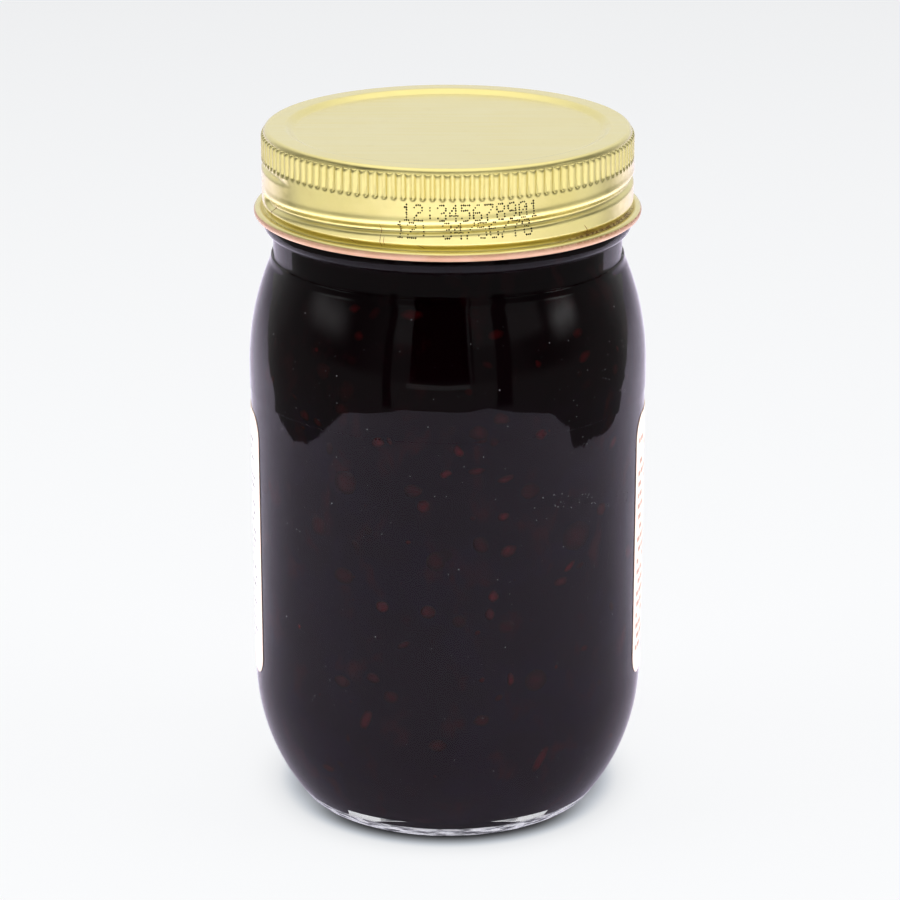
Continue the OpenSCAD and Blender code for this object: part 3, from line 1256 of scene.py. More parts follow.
@dataclass
class Glass:
    """The jar: its section, its wall and the finish of its glass."""

    datum: Datum
    wall: float = 2.6
    panel_depth: float = 0.15
    heel_h: float = 26.0
    heel_curve: float = 41.8
    shoulder_curve: float = 53.5
    neck_drop: float = 24.55
    push_up: float = 3.0
    floor_t: float = 4.0
    bearing_r: float = 29.243
    bearing_w: float = 2.4
    bearing_round: float = 1.0
    corner: float = 6.0
    finish_r: float = 33.4
    finish_t: float = 3.0
    neck_step: float = 0.5
    neck_fillet: float = 2.0
    bead_round: float = 2.4
    bead_gap: float = 1.1
    rim_round: float = 1.4
    seam_ring: float = 0.22
    label_head: float = 8.0
    dome_steps: int = 14
    knurl_count: int = 150
    knurl_columns: int = 5
    knurl_bulge: float = 0.10
    columns: int = 256

    def __post_init__(self) -> None:
        """Works out the centres of the section's arcs."""
        body, rim = self.datum.body_r, self.datum.rim
        self.panel_r = body - self.panel_depth
        self.neck_r = self.finish_r + self.neck_step
        self.mouth_r = self.finish_r - self.finish_t
        reach = self.shoulder_curve
        shoulder_z = rim - self.neck_drop - math.sqrt(reach**2 - (reach - body + self.neck_r) ** 2)
        self.shoulder_c = (body - reach, shoulder_z)
        self.heel_c = (self.panel_r - self.heel_curve, self.heel_h)
        self.bearing_c = (self.bearing_r, self.bearing_round)
        inner, drop = self.heel_curve - self.wall - self.corner, self.heel_h - self.floor_t - self.corner
        self.corner_c = (self.heel_c[0] + math.sqrt(inner**2 - drop**2), self.floor_t + self.corner)
        far = self.neck_r + self.neck_fillet
        rise = math.sqrt((reach + self.neck_fillet) ** 2 - (far - self.shoulder_c[0]) ** 2)
        self.fillet_c = (far, shoulder_z + rise)
        self.bead_c = (self.finish_r, self.datum.lid_foot - self.bead_gap)

    def outside(self) -> np.ndarray:
        """Outline of the jar's outside, from the middle of its foot to its rim.

        Returns:
            The points.
        """
        heel_end = toward(self.heel_c, self.bearing_c)
        low = self.shoulder_c[1] - self.label_head / 2
        neck = arc(self.fillet_c, self.neck_fillet, toward(self.fillet_c, self.shoulder_c) + 360, 180, 8)
        ring_r, ring_z = neck[0]
        ring = line((ring_r + 0.12 + self.seam_ring, ring_z - 0.16), (ring_r + self.seam_ring, ring_z + 0.12),
                    (ring_r + 0.02, ring_z + 0.22))
        half_foot = math.degrees(math.acos(self.neck_step / self.bead_round))
        return np.vstack((
            dome(self.bearing_c[0] - self.bearing_w, 0.0, self.push_up, self.dome_steps),
            arc(self.bearing_c, self.bearing_round, -90, heel_end, 8),
            arc(self.heel_c, self.heel_curve, heel_end, 0, 28),
            line((self.panel_r, low), (self.datum.body_r, low + self.panel_depth)),
            arc(self.shoulder_c, self.shoulder_curve, 0, toward(self.shoulder_c, self.fillet_c), 28)[:-1],
            ring,
            neck[2:],
            arc(self.bead_c, self.bead_round, -half_foot, 90, 18),
            arc((self.finish_r - self.rim_round, self.datum.rim - self.rim_round), self.rim_round, 0, 90, 8),
        ))

    def inside(self, sink: float) -> np.ndarray:
        """Outline of the jar's inside, from the neck down to the middle of its floor.

        Args:
            sink: How far the outline lies inside the glass.

        Returns:
            The points.
        """
        reach = self.shoulder_curve - self.wall + sink
        start = math.degrees(math.acos((self.mouth_r + sink - self.shoulder_c[0]) / reach))
        heel_end = toward(self.heel_c, self.corner_c)
        floor = self.floor_t - sink
        return np.vstack((
            arc(self.shoulder_c, reach, start, 0, 28),
            line((self.panel_r - self.wall + sink, self.heel_h)),
            arc(self.heel_c, self.heel_curve - self.wall + sink, 0, heel_end, 24),
            arc(self.corner_c, self.corner + sink, heel_end, -90, 10),
            dome(self.corner_c[0], floor, floor + self.push_up, self.dome_steps)[::-1],
        ))

    def wall_at(self, height: np.ndarray | float, sink: float) -> np.ndarray:
        """Radius of the jar's inside at a height above its floor."""
        inner = self.inside(sink)[:-self.dome_steps]
        return np.interp(height, inner[::-1, 1], inner[::-1, 0])

    def skin_at(self, height: np.ndarray | float) -> np.ndarray:
        """Radius of the jar's outside at a height between its heel and its neck."""
        rising = self.outside()[self.dome_steps + 1:]
        return np.interp(height, rising[:, 1], rising[:, 0])

    def build(self, effects: Effects) -> None:
        """Makes the glass.

        Args:
            effects: The shared node groups.
        """
        centre = (self.mouth_r + self.rim_round, self.datum.rim - self.rim_round)
        rim = arc(centre, self.rim_round, 90, 180, 8)
        outline = np.vstack((self.outside(), rim[1:], self.inside(0.0)))
        piece = lathed("jar_glass", outline, self.columns, ClearGlass().make(effects), 30.0)
        ride(piece, "clear_glass", "jar")
        ride(self._knurl(FrostedKnurlPaintedLight().make(effects)), "clear_glass")

    def _knurl(self, finish: bpy.types.Material) -> bpy.types.Object:
        """The knurled band in the heel, painted with the light it catches just above the table.

        Args:
            finish: Its material.

        Returns:
            The piece.
        """
        section = line((28.6, 0.35), (29.5, 0.4), (30.2, 0.8), (30.8, 1.5), (31.15, 2.3),
                       (30.8, 2.45), (30.0, 1.7), (29.4, 1.1), (28.6, 0.8))
        columns = self.knurl_columns
        across = np.linspace(-0.5, 0.5, columns)
        pitch = 360 / self.knurl_count
        bulge = self.knurl_bulge * np.cos(2 * np.pi * across)
        radius = section[:, :1] + bulge[None]
        outer = band("knurl_strip", across * pitch, np.repeat(section[:, 1:2], columns, axis=1), radius)
        mesh = outer.data
        last = (len(section) - 1) * columns
        closing = [(c + last, c + last + 1, c + 1, c) for c in range(columns - 1)]
        points = np.array([tuple(v.co / MM) for v in mesh.vertices])
        faces = [tuple(p.vertices) for p in mesh.polygons] + closing
        bpy.data.objects.remove(outer)
        strip = finish_mesh("knurl_strip", points, faces)
        return ring_grower().grow("heel_knurl", strip, 40.0, Count=self.knurl_count, Material=finish)


@dataclass(frozen=True)
class Fleck:
    """One piece of pulp that shows at the glass.

    Its place is an angle round the jar and a height, its length and width are whole sizes in
    millimetres, its tilt is that of its length in degrees, and its strength is how bright its
    middle is, up to 1.
    """

    angle: float
    height: float
    length: float
    width: float
    tilt: float
    strength: float


@dataclass
class Jam:
    """The jam and what is seen in it: its filling, large pieces of pulp and small flecks."""

    datum: Datum
    glass: Glass
    sink: float = 0.15
    thickness: float = 0.02
    columns: int = 192
    pulp: Sequence[Fleck] = (
        Fleck(-25, 27, 4.6, 2.2, 62, 0.75),
        Fleck(29.5, 18, 6.2, 2.2, 66, 0.72),
        Fleck(19, 36, 1.5, 3.0, 0, 0.8),
        Fleck(27, 35, 5.0, 4.6, 0, 0.22),
        Fleck(13.5, 53.5, 2.4, 2.4, 30, 0.95),
        Fleck(12.5, 50, 2.0, 2.6, 0, 0.5),
        Fleck(18, 62.5, 3.4, 2.6, 20, 0.65),
        Fleck(16.5, 69.5, 2.4, 1.9, 10, 0.7),
        Fleck(38.5, 57, 3.0, 1.6, 35, 0.85),
        Fleck(-19.5, 51, 2.8, 2.4, 0, 0.62),
        Fleck(-7, 72, 2.8, 2.8, 0, 0.6),
        Fleck(-0.5, 78.5, 2.4, 1.6, 20, 0.9),
        Fleck(3, 83, 1.8, 2.6, 20, 0.95),
        Fleck(8.5, 79, 3.4, 1.4, 10, 0.5),
        Fleck(17, 77, 3.6, 1.5, 15, 0.5),
        Fleck(28, 85, 2.6, 2.4, 0, 0.9),
        Fleck(-20.5, 84, 2.6, 2.2, 30, 0.75),
        Fleck(-46, 86.5, 2.6, 2.2, 0, 0.6),
        Fleck(44.5, 98, 3.6, 2.0, 20, 0.9),
        Fleck(27.5, 98.5, 1.6, 1.4, 0, 0.85),
        Fleck(43, 102.5, 2.8, 2.0, 0, 0.7),
        Fleck(15, 104.5, 3.4, 2.0, 10, 1.0),
        Fleck(-11.5, 108, 4.6, 2.2, 5, 0.95),
        Fleck(-28, 103.5, 2.2, 2.0, 0, 0.7),
        Fleck(-31, 108, 2.6, 1.8, 10, 0.85),
        Fleck(-42.5, 99.5, 1.0, 1.0, 0, 1.0),
        Fleck(-50, 42.5, 1.0, 1.0, 0, 1.0),
        Fleck(-31, 75, 5.0, 5.0, 0, 0.3),
        Fleck(-39, 96, 3.6, 3.4, 0, 0.3),
        Fleck(-32, 89.5, 3.4, 2.6, 0, 0.28),
        Fleck(-41, 65, 4.0, 4.4, 0, 0.24),
        Fleck(-10, 75, 3.6, 2.8, 0, 0.26),
        Fleck(-32, 56, 4.4, 3.6, 0, 0.22),
        Fleck(-3.5, 61, 3.6, 4.2, 0, 0.22),
        Fleck(15.5, 89, 3.2, 2.6, 0, 0.3),
        Fleck(9, 86.5, 3.8, 3.2, 0, 0.3),
        Fleck(41, 63, 7.0, 6.0, 0, 0.2),
        Fleck(24.5, 74, 4.2, 3.4, 0, 0.24),
        Fleck(51.5, 66.5, 3.0, 2.8, 0, 0.3),
        Fleck(17.5, 47, 3.4, 3.0, 0, 0.24),
        Fleck(-33, 34, 3.6, 2.6, 0, 0.28),
        Fleck(-22.5, 36, 3.0, 2.2, 0, 0.3),
        Fleck(-17, 32.5, 3.2, 2.8, 0, 0.24),
        Fleck(10, 28, 3.2, 2.4, 0, 0.26),
        Fleck(-3, 23, 3.6, 2.6, 0, 0.22),
        Fleck(-41, 14, 3.2, 1.8, 0, 0.4),
    )

    def build(self, effects: Effects) -> None:
        """Makes the filling and the pulp in it.

        Args:
            effects: The shared node groups.
        """
        top = line((0.0, self.datum.fill), (self.glass.mouth_r + self.sink, self.datum.fill))
        outline = np.vstack((top, self.glass.inside(self.sink)))[::-1]
        ride(lathed("jam_fill", outline, self.columns, BerryJam().make(effects), 50.0), "berry_jam", "jam")
        finish = Pulp().make(effects)
        ride(self._large_pulp(finish), "berry_jam")
        ride(self._small_flecks(finish), "berry_jam")

    def _large_pulp(self, finish: bpy.types.Material) -> bpy.types.Object:
        """The pieces of pulp that are placed one by one.

        Args:
            finish: Their material.

        Returns:
            The piece.
        """
        angle = np.array([p.angle for p in self.pulp])
        height = np.array([p.height for p in self.pulp])
        tilt = np.radians([p.tilt for p in self.pulp])[:, None]
        facing, right = around(angle)
        radius = self.glass.wall_at(height, self.sink + 0.03)
        slope = self.glass.wall_at(height + 1, self.sink) - self.glass.wall_at(height - 1, self.sink)
        up = facing * (slope / 2)[:, None] + np.array([0, 0, 1.0])
        up /= np.linalg.norm(up, axis=1)[:, None]
        place = facing * radius[:, None] + np.outer(height, [0, 0, 1.0])
        size = np.array([(p.length / 2, p.width / 2, self.thickness) for p in self.pulp])
        along = right * np.cos(tilt) + up * np.sin(tilt)
        points = marked_points("jam_pulp_points", place, np.cross(right, up), along, size,
                               np.array([p.strength for p in self.pulp]))
        return stamp_grower(Stamp.BLOB).grow("jam_pulp", points, Roughen=0.9 * MM, Grain=900.0,
                                             Material=finish)

    def _small_flecks(self, finish: bpy.types.Material) -> bpy.types.Object:
        """Small flecks scattered over the whole filling.

        Args:
            finish: Their material.

        Returns:
            The piece.
        """
        host = self._side("jam_side", 12.0, self.datum.lid_foot - 6)
        return scatter_grower().grow("jam_flecks", host, Density=9500.0, Seed=4, Smallest=0.25 * MM,
                                     Largest=2.4 * MM, Flatness=0.015, Roughen=0.5 * MM, Grain=1500.0,
                                     Weakest=0.03, Strongest=0.4, Material=finish)

    def _side(self, name: str, foot: float, head: float) -> bpy.types.Object:
        """The filling's side between two heights, as a surface to scatter over.

        Args:
            name: Name of the host.
            foot: Lowest height.
            head: Highest height.

        Returns:
            The host.
        """
        height = np.linspace(foot, head, 40)
        radius = self.glass.wall_at(height, self.sink + 0.02)
        return band(name, np.linspace(0, 360, 97), height, np.repeat(radius[:, None], 97, axis=1))


def band(name: str, angle: np.ndarray, height: np.ndarray, radius: np.ndarray) -> bpy.types.Object:
    """An open stretch of surface round the axis, used as a host.

    Args:
        name: Name of the object.
        angle: Angles in degrees of its columns.
        height: Heights of its rows, or of every point.
        radius: Radius at each row and column.

    Returns:
        The object, with its faces outwards.
    """
    facing, _ = around(angle)
    level = height if height.ndim == 2 else height[:, None] + np.zeros_like(radius)
    points = radius[:, :, None] * facing[None] + level[:, :, None] * np.array([0, 0, 1.0])
    columns = len(angle)
    faces = [(r * columns + c, r * columns + c + 1, (r + 1) * columns + c + 1, (r + 1) * columns + c)
             for r in range(len(height) - 1) for c in range(columns - 1)]
    return finish_mesh(name, points.reshape(-1, 3), faces)


def joined(name: str, parts: Sequence[bpy.types.Object]) -> bpy.types.Object:
    """One object made of several, which are used up.

    Args:
        name: Name of the object.
        parts: The objects.

    Returns:
        The object.
    """
    points = np.vstack([[tuple(v.co / MM) for v in part.data.vertices] for part in parts])
    faces: list[tuple[int, ...]] = []
    start = 0
    for part in parts:
        faces += [tuple(start + v for v in face.vertices) for face in part.data.polygons]
        start += len(part.data.vertices)
        bpy.data.objects.remove(part)
    return finish_mesh(name, points, faces)


GLYPHS = {
    "0": "01110 10001 10011 10101 11001 10001 01110",
    "1": "00100 01100 00100 00100 00100 00100 01110",
    "2": "01110 10001 00001 00110 01000 10000 11111",
    "3": "01110 10001 00001 00110 00001 10001 01110",
    "4": "00010 00110 01010 10010 11111 00010 00010",
    "5": "11111 10000 11110 00001 00001 10001 01110",
    "6": "00110 01000 10000 11110 10001 10001 01110",
    "7": "11111 00001 00010 00100 01000 01000 01000",
    "8": "01110 10001 10001 01110 10001 10001 01110",
    "9": "01110 10001 10001 01111 00001 00010 01100",
    ":": "00000 00100 00100 00000 00100 00100 00000",
    "/": "00001 00001 00010 00100 01000 10000 10000",
    " ": "00000 00000 00000 00000 00000 00000 00000",
}


@dataclass(frozen=True)
class DotLine:
    """One line of digits printed in dots on the lid's wall."""

    text: str
    start: float
    head: float
    lean: float
    column: float = 0.576
    row: float = 0.48

    def dots(self) -> tuple[np.ndarray, np.ndarray, np.ndarray]:
        """Angle, height above the lid's foot and relative size of every dot.

        Returns:
            The three, one value a dot.
        """
        rng = np.random.default_rng(21)
        spots = []
        for place, sign in enumerate(self.text):
            for row, cells in enumerate(GLYPHS[sign].split()):
                for column, cell in enumerate(cells):
                    if cell == "1":
                        across = self.start + (place * 6 + column) * self.column
                        lean = self.lean * (row / 6) * 0.5 * place / len(self.text)
                        wobble = rng.normal(0.0, 0.03, 2)
                        spots.append((across + lean + wobble[0], self.head - row * self.row + wobble[1],
                                      rng.uniform(0.8, 1.12)))
        table = np.array(spots)
        return table[:, 0], table[:, 1], table[:, 2]


@dataclass(frozen=True)
class Scratch:
    """One scratch: points of its path as angle and height above the lid's foot, and its width."""

    points: tuple[tuple[float, float], ...]
    width: float
    steps: int = 14

    def path(self, foot: float) -> tuple[np.ndarray, np.ndarray, np.ndarray]:
        """Angle, height and width along the scratch, thin at both ends.

        Args:
            foot: Height of the lid's foot.

        Returns:
            The three, one value each step.
        """
        t = np.linspace(0, 1, self.steps)
        knots = np.linspace(0, 1, len(self.points))
        angle = np.interp(t, knots, [p[0] for p in self.points])
        height = np.interp(t, knots, [p[1] for p in self.points])
        width = self.width * (0.25 + 0.75 * np.sin(np.pi * t) ** 0.6)
        return angle, foot + height, width


@dataclass
class Lid:
    """The screw lid: its shell with rolled thread and curl, its grip band, and the marks on it."""

    datum: Datum
    sheet: float = 0.25
    crest_r: float = 35.9
    root_r: float = 35.45
    shoulder_round: float = 1.0
    panel_drop: float = 0.85
    panel_foot_r: float = 29.4
    panel_head_r: float = 31.5
    grip_foot: float = 6.1
    grip_head: float = 1.0
    rib_count: int = 124
    groove_start: float = -78.0
    groove_end: float = 305.0
    groove_depth: float = 0.8
    groove_front: float = 5.55
    groove_pitch: float = 7.3
    groove_level_from: float = 235.0
    groove_above: float = 0.95
    groove_below: float = 0.55
    groove_shape: float = 2.4
    bulge_lift: float = 1.9
    bulge_width: float = 0.6
    bulge_out: float = 0.10
    skirt_foot: float = 1.7
    skirt_head: float = 3.1
    undercut_r: float = 35.35
    curl_out: float = 0.68
    curl_r: float = 0.92
    rib_flat: float = 0.13
    rib_side: float = 0.40
    rib_crown: float = 0.75
    grip_back: float = 0.5
    dot_size: Point = (0.15, 0.175, 0.05)
    columns: int = 480
    code: Sequence[DotLine] = (
        DotLine("12:345678901", -13.2, 10.45, 0.6),
        DotLine("12: 34/56/78", -15.2, 7.1, 1.0),
    )
    scratches: Sequence[Scratch] = (
        Scratch(((-67, 4.5), (-68, 3.6), (-70, 2.4), (-71, 1.7)), 0.16),
        Scratch(((-20.5, 6.4), (-20, 4.6), (-20.3, 3.0), (-19.8, 2.0)), 0.07),
        Scratch(((-18.9, 4.2), (-19.2, 3.2), (-18.8, 2.4)), 0.06),
        Scratch(((-31, 3.0), (-29.5, 2.6), (-28.6, 2.2)), 0.12),
        Scratch(((-9, 2.9), (-7.6, 2.5), (-6.8, 2.2)), 0.12),
        Scratch(((45, 4.0), (46.2, 3.2), (46.8, 2.4)), 0.12),
    )
    rusty: Sequence[tuple[float, float]] = ((47, 60), (73, 80))

    def __post_init__(self) -> None:
        """Works out the heights that the rows of the shell stand on."""
        self.top, self.foot = self.datum.lid_top, self.datum.lid_foot
        self.grip_z = (self.top - self.grip_foot, self.top - self.grip_head)
        self.curl_c = (self.crest_r + self.curl_out, self.foot + self.curl_r)

    def wall(self, angle: np.ndarray | float, height: np.ndarray | float) -> np.ndarray:
        """Radius of the lid's outer wall below its grip band.

        Args:
            angle: Angle round the lid in degrees, from the front.
            height: Height in millimetres.

        Returns:
            The radius, with the rolled thread and the drawn-in skirt.
        """
        z = np.asarray(height, float)
        flare = smooth_step(z, self.foot + self.skirt_foot, self.foot + self.skirt_head)
        skirt = self.undercut_r + (self.crest_r - self.undercut_r) * flare
        depth = np.zeros(np.broadcast(angle, z).shape)
        bulge = np.zeros_like(depth)
        for lap in (0.0, 360.0):
            turn = np.mod(np.asarray(angle, float) + 180.0, 360.0) - 180.0 + lap
            run = smooth_step(turn, self.groove_start, self.groove_start + 4)
            run = run * (1 - smooth_step(turn, self.groove_end - 12, self.groove_end))
            climb = self.groove_pitch * np.minimum(turn, self.groove_level_from) / 360
            middle = self.foot + self.groove_front + climb
            middle = middle + 0.7 * (1 - smooth_step(turn, self.groove_start, self.groove_start + 8))
            off = z - middle
            width = np.where(off > 0, self.groove_above, self.groove_below)
            depth = np.maximum(depth, run * np.exp(-((np.abs(off) / width) ** self.groove_shape)))
            bulge = np.maximum(bulge, run * np.exp(-(((off - self.bulge_lift) / self.bulge_width) ** 2)))
        return skirt - self.groove_depth * depth + self.bulge_out * bulge

    def _shell_rows(self) -> tuple[np.ndarray, np.ndarray, list[int]]:
        """Rings of the shell, from the middle of its underside to the middle of its top.

        Returns:
            Radius and height of every point, and the material of each row of faces.
        """
        angle = np.linspace(0, 360, self.columns, endpoint=False)
        radius: list[np.ndarray] = []
        height: list[float] = []
        slots: list[int] = []

        def ring(r: np.ndarray | float, z: float, slot: int = 0) -> None:
            """Adds one ring."""
            radius.append(np.broadcast_to(r, angle.shape).astype(float))
            height.append(z)
            slots.append(slot)

        tops = self._top_section()
        for r, z in tops[::-1]:
            ring(max(r - self.sheet * 0.5, 0.0) if r > self.panel_head_r else r, z - self.sheet)
        low, high = self.foot + 1.55, self.grip_z[0]
        for z in np.linspace(high, low, 32):
            ring(self.wall(angle, z) - self.sheet - 0.1, float(z))
        for r, z in arc(self.curl_c, self.curl_r, 180, 500, 30):
            outside = r > self.curl_c[0] and z < self.foot + 1.32
            ring(r, float(z), 1 if outside else 0)
        ring(self.undercut_r + 0.12, self.foot + 1.52)
        ring(self.undercut_r, self.foot + self.skirt_foot)
        for z in np.linspace(self.foot + 1.9, high, 58):
            ring(self.wall(angle, z), float(z))
        ring(self.root_r - 0.03, high + 0.02)
        ring(self.root_r - 0.03, self.grip_z[1] - 0.02)
        for r, z in tops:
            ring(r, float(z))
        return np.array(radius), np.repeat(np.array(height)[:, None], self.columns, axis=1), slots

    def _top_section(self) -> np.ndarray:
        """Section of the lid's top, from the grip band's head over the rim to the middle of the panel.

        Returns:
            The points.
        """
        centre = (self.root_r - self.shoulder_round, self.top - self.shoulder_round)
        slope_r = np.linspace(self.panel_head_r + 0.3, self.panel_foot_r - 0.3, 16)
        sunk = 1 - smooth_step(slope_r, self.panel_foot_r, self.panel_head_r)
        slope_z = self.top - self.panel_drop * sunk
        panel_z = self.top - self.panel_drop
        return np.vstack((
            arc(centre, self.shoulder_round, 0, 90, 12),
            np.column_stack((slope_r, slope_z)),
            line((24.0, panel_z), (12.0, panel_z), (0.0, panel_z)),
        ))

    def build(self, effects: Effects) -> list[bpy.types.Object]:
        """Makes the lid and everything on it, and gives its pieces.

        Args:
            effects: The shared node groups.

        Returns:
            The pieces.
        """
        gold = GoldTinplate().make(effects)
        curl = CurlLacquer().make(effects)
        rust = Rust().make(effects)
        radius, height, slots = self._shell_rows()
        shell = turned("lid_shell", radius, height, [gold, curl], slots, 50.0)
        return [
            ride(shell, "gold_tinplate", "lid"),
            ride(self._grip(gold), "gold_tinplate"),
            ride(self._code(CodeInk().make(effects)), "gold_tinplate"),
            ride(self._scratches(rust), "gold_tinplate"),
            ride(self._rust(rust), "gold_tinplate"),
        ]

    def _grip(self, gold: bpy.types.Material) -> bpy.types.Object:
        """The ring of ribs, each with a round head and a round foot between it and the next.

        Args:
            gold: Its material.

        Returns:
            The piece.
        """
        pitch = 360 / self.rib_count
        across = np.linspace(-0.5, 0.5, 11)
        foot, head = self.grip_z
        up = np.concatenate((np.linspace(foot, foot + 1.1, 8), np.linspace(foot + 1.8, head - 1.4, 4),
                             np.linspace(head - 0.8, head, 8)))
        rib = 1 - smooth_step(np.abs(across), self.rib_flat, self.rib_side)
        foot_z = foot + 0.18 + 0.55 * np.clip((0.5 - np.abs(across)) / 0.32, 0, 1) ** 2
        depth = self.crest_r - self.root_r
        rows = []
        for z in up:
            floor = 1 - smooth_step(z, foot_z - 0.15, foot_z + 0.45)
            over = max((z - (head - self.rib_crown)) / self.rib_crown, 0.0)
            crown = np.sqrt(np.clip(1 - over ** 2, 0, 1))
            rows.append(self.root_r + depth * np.maximum(rib * crown, floor))
        outer = band("grip_outer", across * pitch, up, np.array(rows))
        back_r = self.root_r - self.grip_back
        points = [v.co.copy() / MM for v in outer.data.vertices]
        faces = [tuple(p.vertices) for p in outer.data.polygons]
        columns, count = len(across), len(points)
        facing, _ = around(across * pitch)
        for z in (foot, head):
            points += [tuple(f * back_r + np.array([0, 0, z])) for f in facing]
        last = count - columns
        for c in range(columns - 1):
            low, high = count + c, count + columns + c
            faces += [(low, low + 1, c + 1, c), (last + c, last + c + 1, high + 1, high),
                      (high, high + 1, low + 1, low)]
        bpy.data.objects.remove(outer)
        strip = finish_mesh("grip_strip", np.array([tuple(p) for p in points]), faces)
        return ring_grower().grow("lid_grip", strip, 50.0, Count=self.rib_count, Material=gold)

    def _code(self, ink: bpy.types.Material) -> bpy.types.Object:
        """The dot-printed code: two lines of plain digits.

        Args:
            ink: Its material.

        Returns:
            The piece.
        """
        dots = zip(*(entry.dots() for entry in self.code))
        angle, height, strength = (np.concatenate(parts) for parts in dots)
        height = self.foot + height
        facing, right = around(angle)
        place = facing * (self.wall(angle, height) + 0.015)[:, None] + np.outer(height, [0, 0, 1.0])
        across, up, deep = self.dot_size
        size = np.column_stack((across * strength, up * strength, np.full(len(angle), deep)))
        points = marked_points("code_points", place, facing, right, size, np.ones(len(angle)))
        return stamp_grower(Stamp.DOT).grow("lid_code", points, 30.0, Roughen=0.03 * MM, Grain=4000.0,
                                            Material=ink)

    def _scratches(self, finish: bpy.types.Material) -> bpy.types.Object:
        """Fine scratches through the lacquer near the skirt.

        Args:
            finish: Their material.

        Returns:
            The piece.
        """
        points: list[np.ndarray] = []
        faces: list[tuple[int, ...]] = []
        for mark in self.scratches:
            angle, height, width = mark.path(self.foot)
            facing, right = around(angle)
            centre = facing * (self.wall(angle, height) + 0.005)[:, None] + np.outer(height, [0, 0, 1.0])
            start = len(points)
            for c, f, r, w in zip(centre, facing, right, width):
                points += [c + r * w / 2 + f * 0.012, c - r * w / 2 + f * 0.012,
                           c - r * w / 2 - f * 0.05, c + r * w / 2 - f * 0.05]
            for k in range(len(angle) - 1):
                a, b = start + 4 * k, start + 4 * k + 4
                faces += [(a + s, a + (s + 1) % 4, b + (s + 1) % 4, b + s) for s in range(4)]
            end = start + 4 * (len(angle) - 1)
            faces += [(start + 3, start + 2, start + 1, start), (end, end + 1, end + 2, end + 3)]
        return finish_mesh("lid_scratches", np.array(points), faces, [finish])

    def _rust(self, finish: bpy.types.Material) -> bpy.types.Object:
        """Grains of rust along the seam between the skirt and the curl.

        Args:
            finish: Its material.

        Returns:
            The piece.
        """
        hosts = []
        for low, high in self.rusty:
            angle = np.linspace(low, high, 30)
            height = np.array([self.foot + 1.45, self.foot + 1.6, self.foot + 1.9])
            reach = np.array([self.undercut_r + 0.55, self.undercut_r + 0.2, self.undercut_r + 0.02])
            hosts.append(band("rust_host", angle, height, np.repeat(reach[:, None], 30, axis=1)))
        host = joined("rust_hosts", hosts)
        return scatter_grower().grow("lid_rust", host, Density=1.3e6, Seed=9, Smallest=0.03 * MM,
                                     Largest=0.16 * MM, Flatness=0.5, Roughen=0.08 * MM, Grain=4000.0,
                                     Weakest=0.5, Strongest=1.0, Material=finish)


@dataclass
class Label:
    """The paper label round the back."""

    datum: Datum
    sweep: float = 218.0
    thickness: float = 0.1
    corner: float = 4.5
    rows: int = 12

    def _columns(self) -> np.ndarray:
        """Angles of the label's columns, close together over its round corners."""
        half = self.sweep / 2
        near = half - 8.0 * (1 - np.cos(np.linspace(0, math.pi / 2, 12)))
        side = near[::-1]
        return np.concatenate((180 - near, np.linspace(180 - side[0], 180 + side[0], 90)[1:-1], 180 + side))

    def _ends(self, angle: np.ndarray, radius: float) -> tuple[np.ndarray, np.ndarray]:
        """Lowest and highest point of the label at each angle.

        Args:
            angle: Angles in degrees.
            radius: Radius of the label.

        Returns:
            Both heights.
        """
        foot, head = self.datum.label_foot, self.datum.label_top
        edge = radius * math.cos(math.radians(self.sweep / 2))
        deep = np.clip(-radius * np.cos(np.radians(angle)) - edge, 0, self.corner)
        cut = self.corner - np.sqrt(np.maximum(self.corner**2 - (self.corner - deep) ** 2, 0))
        return foot + cut, head - cut

    def _faces(self, columns: int) -> list[tuple[int, ...]]:
        """Faces of the label's two sides and its four edges.

        Args:
            columns: How many points lie along it.

        Returns:
            The faces, for the outer points followed by the inner ones.
        """
        count, last = (self.rows + 1) * columns, self.rows * columns
        faces: list[tuple[int, ...]] = []
        for r in range(self.rows):
            for c in range(columns - 1):
                a, b = r * columns + c, (r + 1) * columns + c
                faces += [(a, a + 1, b + 1, b), (count + a, count + b, count + b + 1, count + a + 1)]
        for c in range(columns - 1):
            faces += [(c, count + c, count + c + 1, c + 1),
                      (last + c, last + c + 1, count + last + c + 1, count + last + c)]
        for r in range(self.rows):
            a, b = r * columns, (r + 1) * columns
            e, f = a + columns - 1, b + columns - 1
            faces += [(a, b, count + b, count + a), (e, count + e, count + f, f)]
        return faces

    def build(self, effects: Effects) -> None:
        """Makes the label, with a UV map in millimetres from its middle and its foot.

        Args:
            effects: The shared node groups.
        """
        angle = self._columns()
        low, high = self._ends(angle, self.datum.label_r)
        facing, _ = around(angle)
        share = np.linspace(0, 1, self.rows + 1)[:, None]
        height = low[None] + share * (high - low)[None]
        outer = facing[None] * self.datum.label_r + height[:, :, None] * np.array([0, 0, 1.0])
        inner = outer - facing[None] * self.thickness
        half = self.datum.label_r * math.radians(self.sweep / 2)
        paper = LabelPaper(half, self.datum.label_top - self.datum.label_foot).make(effects)
        points = np.vstack((outer.reshape(-1, 3), inner.reshape(-1, 3)))
        piece = finish_mesh("label", points, self._faces(len(angle)), [paper], None, 30.0)
        flat = np.column_stack((np.tile(self.datum.label_r * np.radians(angle - 180), self.rows + 1),
                                height.reshape(-1) - self.datum.label_foot))
        flat = np.vstack((flat, flat))
        corners = np.array([loop.vertex_index for loop in piece.data.loops])
        piece.data.uv_layers.new(name="wrap").data.foreach_set("uv", flat[corners].ravel().astype(np.float32))
        ride(piece, "label_paper", "label")


